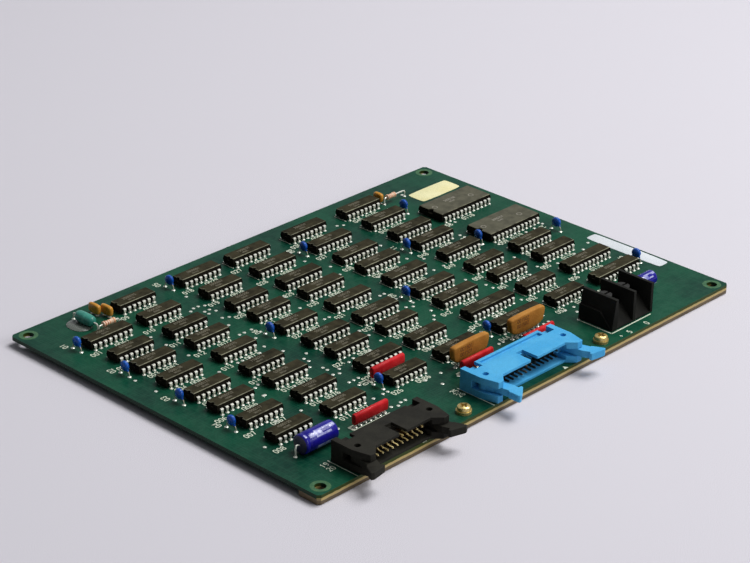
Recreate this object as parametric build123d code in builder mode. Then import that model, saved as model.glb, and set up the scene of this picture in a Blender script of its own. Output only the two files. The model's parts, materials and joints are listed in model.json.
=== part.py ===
from build123d import *
import math
import os

# Through-hole logic board: a green circuit board with seven columns of dual in-line packages, two
# right-angle box headers with ejector latches, a two-way barrier terminal block and small parts.
# Millimetres. Origin: centre of the four corner holes, on the board's underside.
# +X runs along the connector edge, +Y away from that edge, +Z is the component side.

# ---------------------------------------------------------------- driving dimensions
PITCH = 2.54                    # the grid that every lead stands on

TURNED_SIDES = 10               # small turned parts have this many flats
SHANK_SIDES = 8

HOLE_PITCHES_X = 89             # corner-hole spacing, counted in pitches
HOLE_PITCHES_Y = 63
BOARD_T = 1.6
BOARD_MARGIN_X = 5.3            # board edge beyond the corner-hole centres
BOARD_MARGIN_Y = 4.6
BOARD_CORNER = 1.2
CORNER_HOLE_D = 4.3
FIRST_LEAD_X = 4.1              # first lead of the grid from the front left corner hole, in pitches
FIRST_LEAD_Y = 12.0

BAR_T = 2.2                     # stiffener bar under the connector edge
BAR_DEPTH = 10.0
SCREW_D = 3.0                   # the two screws that hold the bar
SCREW_HEAD_D = 5.6
SCREW_HEAD_T = 2.4
SCREW_RECESS = 1.2
WASHER_D = 7.0
WASHER_T = 0.6
SCREW_PITCHES = (25.2, 56.6)    # from the grid's first lead

DIP_STANDOFF = 0.6              # dual in-line packages
DIP_SEAM_Z = 2.3
DIP_HEIGHT = 4.0
DIP_DRAFT = 0.3
DIP_END = 1.1                   # package length beyond its pitches
DIP_SHOULDER = 0.65             # from the package side to the lead row
LEAD_W = 1.3
LEAD_OUTSET = 0.15
NOTCH_W = 1.6
NOTCH_T = 0.9

HEADER_H = 8.8                  # box headers
HEADER_DEPTH = 14.1
HEADER_END = 10.8               # from the last pin to the end of the ear
MOUTH_END = 3.2                 # from the last pin to the side of the mouth
MOUTH_H = 6.4
BASE_WALL_Y = 7.2               # from the mouth plane to the face that the pins come out of
BASE_WALL_T = 2.0
WING_REACH = 3.5                # the ears' noses reach this far beyond the mouth plane
WING_IN = 8.0                   # nose profile, measured in from the end of the ear
WING_NOSE_IN = 4.5
WING_NOSE_OUT = 1.8
WING_SHOULDER_Y = 4.0
KEY_W = 3.8                     # polarising slot in the top wall
KEY_DEPTH = 7.6
SLOT_H = 3.2                    # latch slot between the two plates of an ear
SLOT_BACK_Y = 8.3
SLOT_IN = 1.0                   # from the last pin to the inner end of the slot
PIVOT_IN = 3.7                  # latch pivot, from the end of the ear
PIVOT_Y = 4.7
PIVOT_R = 1.15
PIVOT_CLEARANCE = 0.05
POCKET_OUT = 2.7                # pockets in the top of the ears
POCKET_IN = 7.8
POCKET_Y = 9.9
POCKET_T = 2.0
CHANNEL_END = 9.1               # shallow channel along the back of the wide header
CHANNEL_Y = 10.4
CHANNEL_W = 2.3
CHANNEL_T = 1.0
PIN_SQ = 0.64
PIN_TIP_Y = 1.15
TAIL_Y = 10.3

LATCH_CLEARANCE = 0.15          # latch to slot, above and below
LATCH_HEEL_R = 2.4
LATCH_TOE = 5.0                 # short toe that pushes a plug out
LATCH_TOE_T = 1.5
LATCH_ARM_OUT = 0.5             # arm, measured outwards and inwards from the pivot
LATCH_ARM_IN = 5.0
LATCH_HEAD = 5.8                # length of the head: hook and finger tab
LATCH_HEAD_STEP = 0.5
LATCH_HOOK_IN = 6.4
LATCH_HOOK_T = 1.0
LATCH_TIP_W = 1.2
TRUNNION_T = 1.6

# Headers: contacts per row, centre and mouth plane in pitches from the grid's first lead, cut in
# the back edge, latch length, and how far the left and right latches stand open.
HEADERS = {
    "header_20": (10, 10.44, -13.81, 1.5, 15.0, {"left": 27, "right": 20}),
    "header_26": (13, 40.16, -12.47, 0.0, 16.8, {"left": 0, "right": 27}),
}

BLOCK_AT = (60.27, -11.21)      # terminal block: front left corner of its base, in pitches
BLOCK_DEPTH = 17.0
BLOCK_H = 13.0
BLOCK_BAY = 11.1
BARRIER_T = 1.4
BLOCK_FLARE = 2.0               # the left end wall leans in by this much
BLOCK_FOOT = 0.6
SHELF_Z = 6.6
SHELF_Y = 6.4
SCREW_SEAT_Y = 9.4
TERMINAL_T = 1.0
TERMINAL_SCREW_D = 6.2
TERMINAL_SCREW_T = 2.4
TERMINAL_GAP = 0.6

NETWORK_L = 17.4                # red single in-line networks
NETWORK_W = 2.3
NETWORK_Z = 1.0
NETWORK_H = 5.6
NETWORK_CHAMFER = 0.5
TALL_TOP_L = 20.4               # tall dipped networks
TALL_FOOT_L = 17.4
TALL_W = 2.7
TALL_Z = 1.6
TALL_H = 9.5
WIRE_W = 0.6

DISC_D = 4.6                    # disc capacitors
DISC_T = 2.2
DISC_Z = 4.0
DISC_SPREAD = 2                 # pitches between a disc's two leads
CERAMIC_H = 4.2                 # dipped ceramic capacitors
CERAMIC_T = 2.4
CERAMIC_Z = 0.6
CERAMIC_LEADS = 2.9
CAN_D = 7.9                     # axial electrolytic capacitors
CAN_L = 16.4
SMALL_CAN_D = 6.2
SMALL_CAN_L = 11.0
FILM_L = 10.4                   # film capacitor
FILM_W = 4.6
FILM_H = 4.2
RESISTOR_D = 2.5
RESISTOR_Z = 2.9
GLUE_L = 11.2                   # clear glue under the film capacitor
GLUE_W = 9.2
GLUE_T = 0.8
LABEL_T = 0.12                  # two blank paper labels
LABEL_CORNER = 1.0

# ---------------------------------------------------------------- values worked out from them
hole_x = HOLE_PITCHES_X * PITCH / 2
hole_y = HOLE_PITCHES_Y * PITCH / 2
board_half_x = hole_x + BOARD_MARGIN_X
board_half_y = hole_y + BOARD_MARGIN_Y
top = BOARD_T

# Columns of packages: pitches from the grid's first lead. Rows: the front lead row of each package.
COLUMNS = (0, 11, 24, 35, 48, 61, 72)
ROWS = (46, 40, 34, 29, 23, 17, 12, 6, 0)
LEADS_PER_SIDE = (
    (0, 8, 7, 7, 7, 7, 7, 7, 7),
    (7, 7, 7, 7, 7, 7, 7, 7, 7),
    (8, 7, 7, 7, 7, 8, 7, 8, 7),
    (8, 8, 8, 8, 8, 8, 7, 7, 8),
    (8, 8, 8, 8, 8, 8, 8, 10, 10),
    (8, 8, 8, 8, 8, 7, 7, 7, 7),
    (0, 0, 0, 0, 0, 8, 8, 10, 10),
)
NARROW_ROWS = 3                 # pitches between the two lead rows
WIDE_ROWS = 6
WIDE_LEADS = 12
WIDE_PLACES = ((72, 34), (72, 23))

# Disc capacitors: front lead, in pitches; the second lead stands two pitches behind it.
DISC_PLACES = (
    (-2, 41), (-2, 30), (-2, 18), (-2, 7), (22, 47), (22, 24), (22, 1), (46, 41), (46, 18), (46, 1),
    (59, 30), (70, 41), (70, 24), (83, 18), (83, 1),
)
# Red networks: first lead in pitches. Tall networks: first lead in pitches.
NETWORK_LEADS = 7
NETWORK_PLACES = ((11, -4), (23, 4), (34, -4), (47, -5))
TALL_PLACES = ((34.5, -2), (47.5, -2))
LARGE_CAN = (-1, -4, 8)         # first lead in pitches, lead span in pitches
SMALL_CAN = (73, -5, 6)
CERAMIC_PLACES = ((7.67, 49.3, 6.4), (8.66, 47.57, 6.4), (69.75, 47.7, 5.2))    # with body length
FILM_PLACE = (4.3, 47.5)
FILM_FEET = (7.3, 7.3)          # from the middle of an axial part to its feet
GLUE_PLACE = (3.46, 48.0)
# Resistors: middle, in pitches, with body length and the distance to each foot.
RESISTOR_PLACES = ((6, 44, 6.4, 5.1, 5.1), (71.45, 46.4, 5.2, 3.9, 8.8))
# Labels: middle, in pitches, with length and width.
LABELS = {"cream_label": (80.27, 44.3, 24.2, 9.9), "white_label": (85.25, 5.65, 6.5, 39.4)}


def grid_x(count):
    """X of a place on the grid, counted in pitches from the first lead."""
    return -hole_x + (FIRST_LEAD_X + count) * PITCH


def grid_y(count):
    """Y of a place on the grid, counted in pitches from the first lead."""
    return -hole_y + (FIRST_LEAD_Y + count) * PITCH


block_x = grid_x(BLOCK_AT[0])
block_y = grid_y(BLOCK_AT[1])


def save(part, name):
    """Label a finished piece and write it as a STEP file of the same name."""
    part.label = name
    export_step(part, "parts/" + name + ".step")


# ---------------------------------------------------------------- board, stiffener bar and its screws
def screw_places():
    return [(grid_x(count), -hole_y) for count in SCREW_PITCHES]


def make_board():
    with BuildPart() as board:
        with BuildSketch(Plane.XY):
            Rectangle(2 * board_half_x, 2 * board_half_y)
            chamfer(vertices(), BOARD_CORNER)
            with GridLocations(2 * hole_x, 2 * hole_y, 2, 2):
                Circle(CORNER_HOLE_D / 2, mode=Mode.SUBTRACT)
            with Locations(*screw_places()):
                RegularPolygon(SCREW_D / 2, SHANK_SIDES, mode=Mode.SUBTRACT)
        extrude(amount=BOARD_T)
    return board.part


def make_bar():
    with BuildPart() as bar:
        with BuildSketch(Plane.XY.offset(-BAR_T)):
            with Locations((0, -board_half_y + BAR_DEPTH / 2)):
                Rectangle(2 * board_half_x, BAR_DEPTH)
            chamfer(vertices().group_by(Axis.Y)[0], BOARD_CORNER)
            with Locations((-hole_x, -hole_y), (hole_x, -hole_y)):
                Circle(CORNER_HOLE_D / 2, mode=Mode.SUBTRACT)
            with Locations(*screw_places()):
                RegularPolygon(SCREW_D / 2, SHANK_SIDES, mode=Mode.SUBTRACT)
        extrude(amount=BAR_T)
    return bar.part


def make_bar_screws():
    seat = top + WASHER_T
    with BuildPart() as screws:
        with BuildSketch(Plane.XY.offset(-BAR_T)):
            with Locations(*screw_places()):
                RegularPolygon(SCREW_D / 2, SHANK_SIDES)
        extrude(amount=BAR_T + seat)
        with BuildSketch(Plane.XY.offset(seat)):
            with Locations(*screw_places()):
                RegularPolygon(SCREW_HEAD_D / 2, TURNED_SIDES)
        extrude(amount=SCREW_HEAD_T)
        with BuildSketch(Plane.XY.offset(seat + SCREW_HEAD_T)):
            with Locations(*screw_places()):
                Rectangle(SCREW_HEAD_D * 0.6, SCREW_HEAD_D * 0.17)
                Rectangle(SCREW_HEAD_D * 0.17, SCREW_HEAD_D * 0.6)
        extrude(amount=-SCREW_RECESS, mode=Mode.SUBTRACT)
    return screws.part


def make_bar_washers():
    with BuildPart() as washers:
        with BuildSketch(Plane.XY.offset(top)):
            with Locations(*screw_places()):
                RegularPolygon(WASHER_D / 2, TURNED_SIDES)
                RegularPolygon(SCREW_D / 2, SHANK_SIDES, mode=Mode.SUBTRACT)
        extrude(amount=WASHER_T)
    return washers.part


# ---------------------------------------------------------------- dual in-line packages
def package_places(column):
    """Front left lead, leads per side and row spacing of each narrow package in a column."""
    counts = LEADS_PER_SIDE[column]
    return [(COLUMNS[column], row, count, NARROW_ROWS) for row, count in zip(ROWS, counts) if count]


def wide_places():
    return [(column, row, WIDE_LEADS, WIDE_ROWS) for column, row in WIDE_PLACES]


def make_packages(places):
    """Moulded bodies: a six-sided section with the seam half way up, drawn along the package."""
    with BuildPart() as packages:
        for column, row, count, rows in places:
            centre_y = grid_y(row + rows / 2)
            half = rows * PITCH / 2 - DIP_SHOULDER
            length = count * PITCH + DIP_END
            left = grid_x(column + (count - 1) / 2) - length / 2
            with BuildSketch(Plane.YZ.offset(left)) as section:
                with Locations((centre_y, top)):
                    Polygon(
                        (-half + DIP_DRAFT, DIP_STANDOFF),
                        (half - DIP_DRAFT, DIP_STANDOFF),
                        (half, DIP_SEAM_Z),
                        (half - DIP_DRAFT, DIP_HEIGHT),
                        (-half + DIP_DRAFT, DIP_HEIGHT),
                        (-half, DIP_SEAM_Z),
                        align=None,
                    )
            extrude(amount=length)
    return packages.part


def make_lead(width, depth, pad, drop):
    """One lead: three-cornered at its shoulder, tapering to the pad below it."""
    with BuildPart() as lead:
        with BuildSketch(Plane.XY) as shoulder:
            Polygon((-width / 2, 0), (width / 2, 0), (0, depth), align=None)
        loft(sections=[shoulder.sketch.face(), Vertex(0, pad, -drop)])
    return lead.part


def make_leads(places):
    """Leads along both sides of each package: broad at the shoulder, narrow at the pad."""
    one = make_lead(LEAD_W, DIP_SHOULDER + LEAD_OUTSET, DIP_SHOULDER, DIP_SEAM_Z)
    with BuildPart() as leads:
        for column, row, count, rows in places:
            centre = (grid_x(column + (count - 1) / 2), grid_y(row + rows / 2), top + DIP_SEAM_Z)
            half = rows * PITCH / 2 - DIP_SHOULDER
            for turn in (0, 180):
                with Locations(Location(centre, (0, 0, turn))):
                    with Locations((0, half, 0)):
                        with GridLocations(PITCH, PITCH, count, 1):
                            add(one)
    return leads.part


# ---------------------------------------------------------------- box headers
def header_sizes(columns):
    """Half lengths of a header: to its last pin, to the end of its ear and to its pivot."""
    last_pin = (columns - 1) * PITCH / 2
    end = last_pin + HEADER_END
    return last_pin, end, end - PIVOT_IN


def make_housing(columns, centre_x, mouth_y, back_cut):
    """Moulded housing of a right-angle header, with a forked ear at each end for its latch."""
    last_pin, end, pivot = header_sizes(columns)
    slot_z = (HEADER_H - SLOT_H) / 2
    mouth_z = (HEADER_H - MOUTH_H) / 2
    with BuildPart() as housing:
        with BuildSketch(Plane.XY.offset(top)) as plan:
            with Locations((centre_x, mouth_y)):
                for side in (1, -1):
                    Polygon(
                        (0, 0),
                        (side * (end - WING_IN), 0),
                        (side * (end - WING_NOSE_IN), -WING_REACH),
                        (side * (end - WING_NOSE_OUT), -WING_REACH),
                        (side * end, WING_SHOULDER_Y),
                        (side * end, HEADER_DEPTH),
                        (side * (end - POCKET_IN), HEADER_DEPTH),
                        (side * (end - POCKET_IN), HEADER_DEPTH - back_cut),
                        (0, HEADER_DEPTH - back_cut),
                        align=None,
                    )
        extrude(amount=HEADER_H)
        with BuildSketch(Plane.XY.offset(top + mouth_z)):
            with Locations((centre_x, mouth_y + (BASE_WALL_Y - WING_REACH) / 2)):
                Rectangle(2 * (last_pin + MOUTH_END), BASE_WALL_Y + WING_REACH)
            with Locations((centre_x, mouth_y)):
                with Locations((0, (BASE_WALL_Y + BASE_WALL_T + HEADER_DEPTH) / 2)):
                    Rectangle(2 * (last_pin + MOUTH_END), HEADER_DEPTH - BASE_WALL_Y - BASE_WALL_T)
        extrude(amount=MOUTH_H, mode=Mode.SUBTRACT)
        with BuildSketch(Plane.XY.offset(top)):
            with Locations((centre_x, mouth_y)):
                with Locations((0, (BASE_WALL_Y + BASE_WALL_T + HEADER_DEPTH) / 2)):
                    Rectangle(2 * (last_pin + MOUTH_END), HEADER_DEPTH - BASE_WALL_Y - BASE_WALL_T)
        extrude(amount=mouth_z, mode=Mode.SUBTRACT)
        with BuildSketch(Plane.XY.offset(top + slot_z)):
            slot_length = end - last_pin - SLOT_IN
            for side in (1, -1):
                slot_centre = side * (last_pin + SLOT_IN + slot_length / 2)
                with Locations((centre_x + slot_centre, mouth_y + (SLOT_BACK_Y - WING_REACH) / 2)):
                    Rectangle(slot_length, SLOT_BACK_Y + WING_REACH)
        extrude(amount=SLOT_H, mode=Mode.SUBTRACT)
        with BuildSketch(Plane.XY.offset(top + HEADER_H)):
            with Locations((centre_x, mouth_y + KEY_DEPTH / 2)):
                Rectangle(KEY_W, KEY_DEPTH)
        extrude(amount=-mouth_z, mode=Mode.SUBTRACT)
        with BuildSketch(Plane.XY.offset(top + HEADER_H)):
            for side in (1, -1):
                with Locations((centre_x + side * (end - (POCKET_IN + POCKET_OUT) / 2), mouth_y)):
                    with Locations((0, (POCKET_Y + HEADER_DEPTH) / 2)):
                        Rectangle(POCKET_IN - POCKET_OUT, HEADER_DEPTH - POCKET_Y)
        extrude(amount=-POCKET_T, mode=Mode.SUBTRACT)
        if not back_cut:
            with BuildSketch(Plane.XY.offset(top + HEADER_H)):
                with Locations((centre_x, mouth_y + CHANNEL_Y + CHANNEL_W / 2)):
                    Rectangle(2 * (end - CHANNEL_END), CHANNEL_W)
            extrude(amount=-CHANNEL_T, mode=Mode.SUBTRACT)
        with BuildSketch(Plane.XY.offset(top)):
            with Locations((centre_x - pivot, mouth_y + PIVOT_Y), (centre_x + pivot, mouth_y + PIVOT_Y)):
                RegularPolygon(PIVOT_R + PIVOT_CLEARANCE, TURNED_SIDES, major_radius=False)
        extrude(amount=HEADER_H, mode=Mode.SUBTRACT)
        with BuildSketch(Plane.XZ.offset(-mouth_y - BASE_WALL_Y)):
            with Locations((centre_x, top + HEADER_H / 2)):
                with GridLocations(PITCH, PITCH, columns, 2):
                    Rectangle(PIN_SQ, PIN_SQ)
        extrude(amount=-BASE_WALL_T, mode=Mode.SUBTRACT)
    return housing.part


def make_header_pins(columns, centre_x, mouth_y):
    """Two rows of square pins, pressed through the base wall and bent down to the board behind it."""
    last_pin, end, pivot = header_sizes(columns)
    middle = top + HEADER_H / 2
    half = PIN_SQ / 2
    with BuildPart() as pins:
        for number in range(columns):
            x = centre_x - last_pin + number * PITCH
            for row_z, tail in ((middle - PITCH / 2, TAIL_Y), (middle + PITCH / 2, TAIL_Y + PITCH)):
                with BuildSketch(Plane.YZ.offset(x - half)):
                    with Locations((mouth_y, 0)):
                        Polygon(
                            (PIN_TIP_Y, row_z - half),
                            (tail - half, row_z - half),
                            (tail - half, top),
                            (tail + half, top),
                            (tail + half, row_z + half),
                            (PIN_TIP_Y, row_z + half),
                            align=None,
                        )
                extrude(amount=PIN_SQ)
    return pins.part


def make_latch(columns, centre_x, mouth_y, side, reach, angle):
    """Ejector latch: a flat lever on two trunnions, with a hook and a finger tab at its free end."""
    last_pin, end, pivot = header_sizes(columns)
    thickness = SLOT_H - 2 * LATCH_CLEARANCE
    base_z = top + (HEADER_H - thickness) / 2
    pose = Plane(Location((centre_x + side * pivot, mouth_y + PIVOT_Y, base_z), (0, 0, side * angle)))
    with BuildPart() as latch:
        with BuildSketch(pose):
            RegularPolygon(LATCH_HEEL_R, TURNED_SIDES)
            Polygon(
                (-side * LATCH_TOE, LATCH_HEEL_R - LATCH_TOE_T),
                (-side * LATCH_TOE, LATCH_HEEL_R),
                (0, LATCH_HEEL_R),
                (side * LATCH_HEEL_R, 0),
                (side * LATCH_ARM_OUT, -2 * LATCH_HEEL_R),
                (-side * LATCH_ARM_OUT, -reach + LATCH_HEAD),
                (0, -reach + LATCH_HEAD - LATCH_HEAD_STEP),
                (0, -reach),
                (-side * LATCH_TIP_W, -reach),
                (-side * LATCH_HOOK_IN, -reach + LATCH_HEAD - 2 * LATCH_HOOK_T),
                (-side * LATCH_HOOK_IN, -reach + LATCH_HEAD - LATCH_HOOK_T),
                (-side * LATCH_ARM_IN, -reach + LATCH_HEAD - LATCH_HOOK_T),
                (-side * LATCH_ARM_IN, -reach + LATCH_HEAD + 2 * LATCH_HOOK_T),
                (-side * LATCH_HEEL_R, 0),
                align=None,
            )
        extrude(amount=thickness)
        with BuildSketch(pose.offset(-TRUNNION_T)):
            RegularPolygon(PIVOT_R, TURNED_SIDES)
        extrude(amount=thickness + 2 * TRUNNION_T)
    return latch.part


# ---------------------------------------------------------------- barrier terminal block
def make_block():
    """Terminal block: a stepped body with a sloping front, between three full-height barriers."""
    width = 2 * BLOCK_BAY + BARRIER_T + BLOCK_FLARE
    with BuildPart() as block:
        with BuildSketch(Plane.YZ.offset(block_x)) as profile:
            with Locations((block_y, top)):
                Polygon(
                    (0, 0),
                    (BLOCK_DEPTH, 0),
                    (BLOCK_DEPTH, SHELF_Z),
                    (SHELF_Y, SHELF_Z),
                    (BLOCK_FOOT, BLOCK_FOOT),
                    (0, BLOCK_FOOT),
                    align=None,
                )
        extrude(amount=width)
        with BuildSketch(Plane.XZ.offset(-block_y - BLOCK_DEPTH)):
            with Locations((block_x, top)):
                Polygon((0, 0), (BLOCK_FLARE + BARRIER_T, 0), (BLOCK_FLARE + BARRIER_T, BLOCK_H),
                        (BLOCK_FLARE, BLOCK_H), align=None)
            for bay in (1, 2):
                with Locations((block_x + BLOCK_FLARE + bay * BLOCK_BAY, top)):
                    Rectangle(BARRIER_T, BLOCK_H, align=Align.MIN)
        extrude(amount=BLOCK_DEPTH)
    return block.part


def bay_centres():
    """X of the middle of each bay, between two barriers."""
    first = block_x + BLOCK_FLARE + BARRIER_T + (BLOCK_BAY - BARRIER_T) / 2
    return (first, first + BLOCK_BAY)


def make_terminal_plates():
    with BuildPart() as plates:
        for x in bay_centres():
            with BuildSketch(Plane.XY.offset(top + SHELF_Z)):
                with Locations((x, block_y + SHELF_Y + (BLOCK_DEPTH - SHELF_Y) / 2)):
                    Rectangle(BLOCK_BAY - BARRIER_T - 2 * TERMINAL_GAP, BLOCK_DEPTH - SHELF_Y - TERMINAL_GAP)
            extrude(amount=TERMINAL_T)
    return plates.part


def make_terminal_screws():
    seat = top + SHELF_Z + TERMINAL_T
    with BuildPart() as screws:
        with BuildSketch(Plane.XY.offset(seat)):
            with Locations(*[(x, block_y + SCREW_SEAT_Y + SCREW_D / 2) for x in bay_centres()]):
                RegularPolygon(TERMINAL_SCREW_D / 2, TURNED_SIDES)
        extrude(amount=TERMINAL_SCREW_T)
        with BuildSketch(Plane.XY.offset(seat + TERMINAL_SCREW_T)):
            with Locations(*[(x, block_y + SCREW_SEAT_Y + SCREW_D / 2) for x in bay_centres()]):
                Rectangle(TERMINAL_SCREW_D, SCREW_D / 3)
        extrude(amount=-SCREW_RECESS, mode=Mode.SUBTRACT)
    return screws.part


# ---------------------------------------------------------------- single in-line networks
def make_network(place):
    """Red network: a slim moulded strip, standing clear of the board on its leads."""
    x = grid_x(place[0] + (NETWORK_LEADS - 1) / 2)
    half = NETWORK_W / 2
    with BuildPart() as network:
        with BuildSketch(Plane.YZ.offset(x - NETWORK_L / 2)):
            with Locations((grid_y(place[1]), top)):
                Polygon(
                    (-half, NETWORK_Z),
                    (half, NETWORK_Z),
                    (half, NETWORK_H - NETWORK_CHAMFER),
                    (half - NETWORK_CHAMFER, NETWORK_H),
                    (-half + NETWORK_CHAMFER, NETWORK_H),
                    (-half, NETWORK_H - NETWORK_CHAMFER),
                    align=None,
                )
        extrude(amount=NETWORK_L)
    return network.part


def make_tall_network(place):
    """Tall dipped network: a flat lozenge with cut corners, wider at the top than at its foot."""
    x = grid_x(place[0] + (NETWORK_LEADS - 1) / 2)
    half_top = TALL_TOP_L / 2
    half_foot = TALL_FOOT_L / 2
    corner = half_top - half_foot
    with BuildPart() as network:
        with BuildSketch(Plane.XZ.offset(-grid_y(place[1]) - TALL_W / 2)):
            with Locations((x, top)):
                Polygon(
                    (-half_foot, TALL_Z),
                    (half_foot, TALL_Z),
                    (half_top, TALL_H - 2 * corner),
                    (half_top, TALL_H - corner),
                    (half_foot, TALL_H),
                    (-half_foot, TALL_H),
                    (-half_top, TALL_H - corner),
                    (-half_top, TALL_H - 2 * corner),
                    align=None,
                )
        extrude(amount=TALL_W)
    return network.part


def make_network_leads():
    kinds = ((NETWORK_PLACES, NETWORK_Z), (TALL_PLACES, TALL_Z))
    with BuildPart() as leads:
        for places, foot in kinds:
            one = make_lead(LEAD_W, WIRE_W, WIRE_W / 2, foot)
            for column, row in places:
                middle = grid_x(column + (NETWORK_LEADS - 1) / 2)
                with Locations((middle, grid_y(row) - WIRE_W / 2, top + foot)):
                    with GridLocations(PITCH, PITCH, NETWORK_LEADS, 1):
                        add(one)
    return leads.part


# ---------------------------------------------------------------- capacitors and resistors
def make_disc_capacitors():
    """Dipped discs: eight-sided, standing on edge between their two leads."""
    with BuildPart() as discs:
        for column, row in DISC_PLACES:
            with BuildSketch(Plane.YZ.offset(grid_x(column) - DISC_T / 2)):
                with Locations((grid_y(row + DISC_SPREAD / 2), top + DISC_Z)):
                    RegularPolygon(DISC_D / 2, 8, major_radius=False, rotation=180 / 8)
            extrude(amount=DISC_T)
    return discs.part


def make_disc_leads():
    """Each lead leaves the disc's lower corner and splays out to its pad."""
    drop = DISC_Z - DISC_D * math.tan(math.pi / 8) / 2
    splay = DISC_SPREAD * PITCH / 2 - DISC_D / 2
    with BuildPart() as leads:
        for column, row in DISC_PLACES:
            for turn in (0, 180):
                place = (grid_x(column), grid_y(row + DISC_SPREAD / 2), top + drop)
                with Locations(Location(place, (0, 0, turn))):
                    with Locations((0, DISC_D / 2, 0)):
                        Wedge(
                            WIRE_W, drop, WIRE_W, WIRE_W / 2, splay, WIRE_W / 2, splay,
                            rotation=(-90, 0, 0), align=(Align.CENTER, Align.MIN, Align.MIN),
                        )
    return leads.part


def make_ceramic(place):
    """Dipped ceramic capacitor: a long pillow with cut corners."""
    with BuildPart() as ceramic:
        with BuildSketch(Plane.YZ.offset(grid_x(place[0]) - CERAMIC_T / 2)):
            with Locations((grid_y(place[1]), top + CERAMIC_Z + CERAMIC_H / 2)):
                Rectangle(place[2], CERAMIC_H)
                chamfer(vertices(), CERAMIC_H / 4, CERAMIC_H / 3)
        extrude(amount=CERAMIC_T)
        chamfer(ceramic.faces().filter_by(Axis.X).edges(), CERAMIC_T / 5)
    return ceramic.part


def make_ceramic_leads():
    with BuildPart() as leads:
        for column, row, length in CERAMIC_PLACES:
            with BuildSketch(Plane.XY.offset(top)):
                with Locations((grid_x(column), grid_y(row))):
                    with GridLocations(0, CERAMIC_LEADS, 1, 2):
                        Rectangle(WIRE_W, WIRE_W)
            extrude(amount=CERAMIC_Z)
    return leads.part


def make_can(place, diameter, length):
    """Axial electrolytic: a sleeved can lying on the board."""
    column, row, span = place
    with BuildPart() as can:
        with BuildSketch(Plane.YZ.offset(grid_x(column + span / 2) - length / 2)):
            with Locations((grid_y(row), top + diameter / 2)):
                Circle(diameter / 2)
        extrude(amount=length)
    return can.part


def make_film_capacitor():
    """Film capacitor: a dipped slab with cut corners, bedded in its glue."""
    with BuildPart() as film:
        with BuildSketch(Plane.XY.offset(top + GLUE_T)):
            with Locations((grid_x(FILM_PLACE[0]), grid_y(FILM_PLACE[1]))):
                Rectangle(FILM_W, FILM_L)
                chamfer(vertices(), FILM_W / 3)
        extrude(amount=FILM_H)
        chamfer(film.faces().filter_by(Axis.Z).edges(), FILM_H / 4)
    return film.part


def make_glue():
    with BuildPart() as glue:
        with BuildSketch(Plane.XY.offset(top)):
            with Locations((grid_x(GLUE_PLACE[0]), grid_y(GLUE_PLACE[1]))):
                Rectangle(GLUE_W, GLUE_L)
                chamfer(vertices(), GLUE_L / 3, GLUE_W / 3)
        extrude(amount=GLUE_T)
    return glue.part


def make_resistor(place):
    """Axial resistor: a plain moulded barrel."""
    column, row, length = place[:3]
    with BuildPart() as resistor:
        with BuildSketch(Plane.YZ.offset(grid_x(column) - length / 2)):
            with Locations((grid_y(row), top + RESISTOR_Z)):
                RegularPolygon(RESISTOR_D / 2, TURNED_SIDES)
        extrude(amount=length)
    return resistor.part


def axial_places():
    """Middle, direction, body length, height and both foot distances of every axial part."""
    places = []
    cans = ((LARGE_CAN, CAN_D, CAN_L), (SMALL_CAN, SMALL_CAN_D, SMALL_CAN_L))
    for (column, row, span), diameter, length in cans:
        foot = span * PITCH / 2
        places.append((grid_x(column + span / 2), grid_y(row), (1, 0), length, diameter / 2, (foot, foot)))
    for column, row, length, left, right in RESISTOR_PLACES:
        places.append((grid_x(column), grid_y(row), (1, 0), length, RESISTOR_Z, (left, right)))
    film_x, film_y = FILM_PLACE
    places.append((grid_x(film_x), grid_y(film_y), (0, 1), FILM_L, GLUE_T + FILM_H / 2, FILM_FEET))
    return places


def make_axial_leads():
    """Leads that leave both ends of a lying part and turn down to the board."""
    half = WIRE_W / 2
    with BuildPart() as leads:
        for x, y, (along_x, along_y), length, height, feet in axial_places():
            plane = Plane(origin=(x, y, top), x_dir=(along_x, along_y, 0), z_dir=(along_y, -along_x, 0))
            with BuildSketch(plane):
                for side, foot in ((-1, feet[0]), (1, feet[1])):
                    Polygon(
                        (side * length / 2, height - half),
                        (side * (foot - half), height - half),
                        (side * (foot - half), 0),
                        (side * (foot + half), 0),
                        (side * (foot + half), height + half),
                        (side * length / 2, height + half),
                        align=None,
                    )
            extrude(amount=half, both=True)
    return leads.part


def make_label(column, row, length, width):
    with BuildPart() as label:
        with BuildSketch(Plane.XY.offset(top)):
            with Locations((grid_x(column), grid_y(row))):
                Rectangle(length, width)
                chamfer(vertices(), LABEL_CORNER)
        extrude(amount=LABEL_T)
    return label.part


# ---------------------------------------------------------------- build every piece
os.makedirs("parts", exist_ok=True)
save(make_board(), "circuit_board")
save(make_bar(), "stiffener_bar")
save(make_bar_screws(), "stiffener_screws")
save(make_bar_washers(), "stiffener_washers")

for column in range(len(COLUMNS)):
    save(make_packages(package_places(column)), "packages_column_" + str(column + 1))
    save(make_leads(package_places(column)), "leads_column_" + str(column + 1))
save(make_packages(wide_places()), "wide_packages")
save(make_leads(wide_places()), "wide_package_leads")

for name, (contacts, column, row, back_cut, reach, angles) in HEADERS.items():
    x = grid_x(column)
    y = grid_y(row)
    save(make_housing(contacts, x, y, back_cut), name + "_housing")
    save(make_header_pins(contacts, x, y), name + "_pins")
    for side_name, side in (("left", -1), ("right", 1)):
        latch = make_latch(contacts, x, y, side, reach, angles[side_name])
        save(latch, name + "_" + side_name + "_latch")

save(make_block(), "terminal_block")
save(make_terminal_plates(), "terminal_plates")
save(make_terminal_screws(), "terminal_screws")

for number, place in enumerate(NETWORK_PLACES, 1):
    save(make_network(place), "resistor_network_" + str(number))
for number, place in enumerate(TALL_PLACES, 1):
    save(make_tall_network(place), "tall_network_" + str(number))
save(make_network_leads(), "network_leads")

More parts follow.
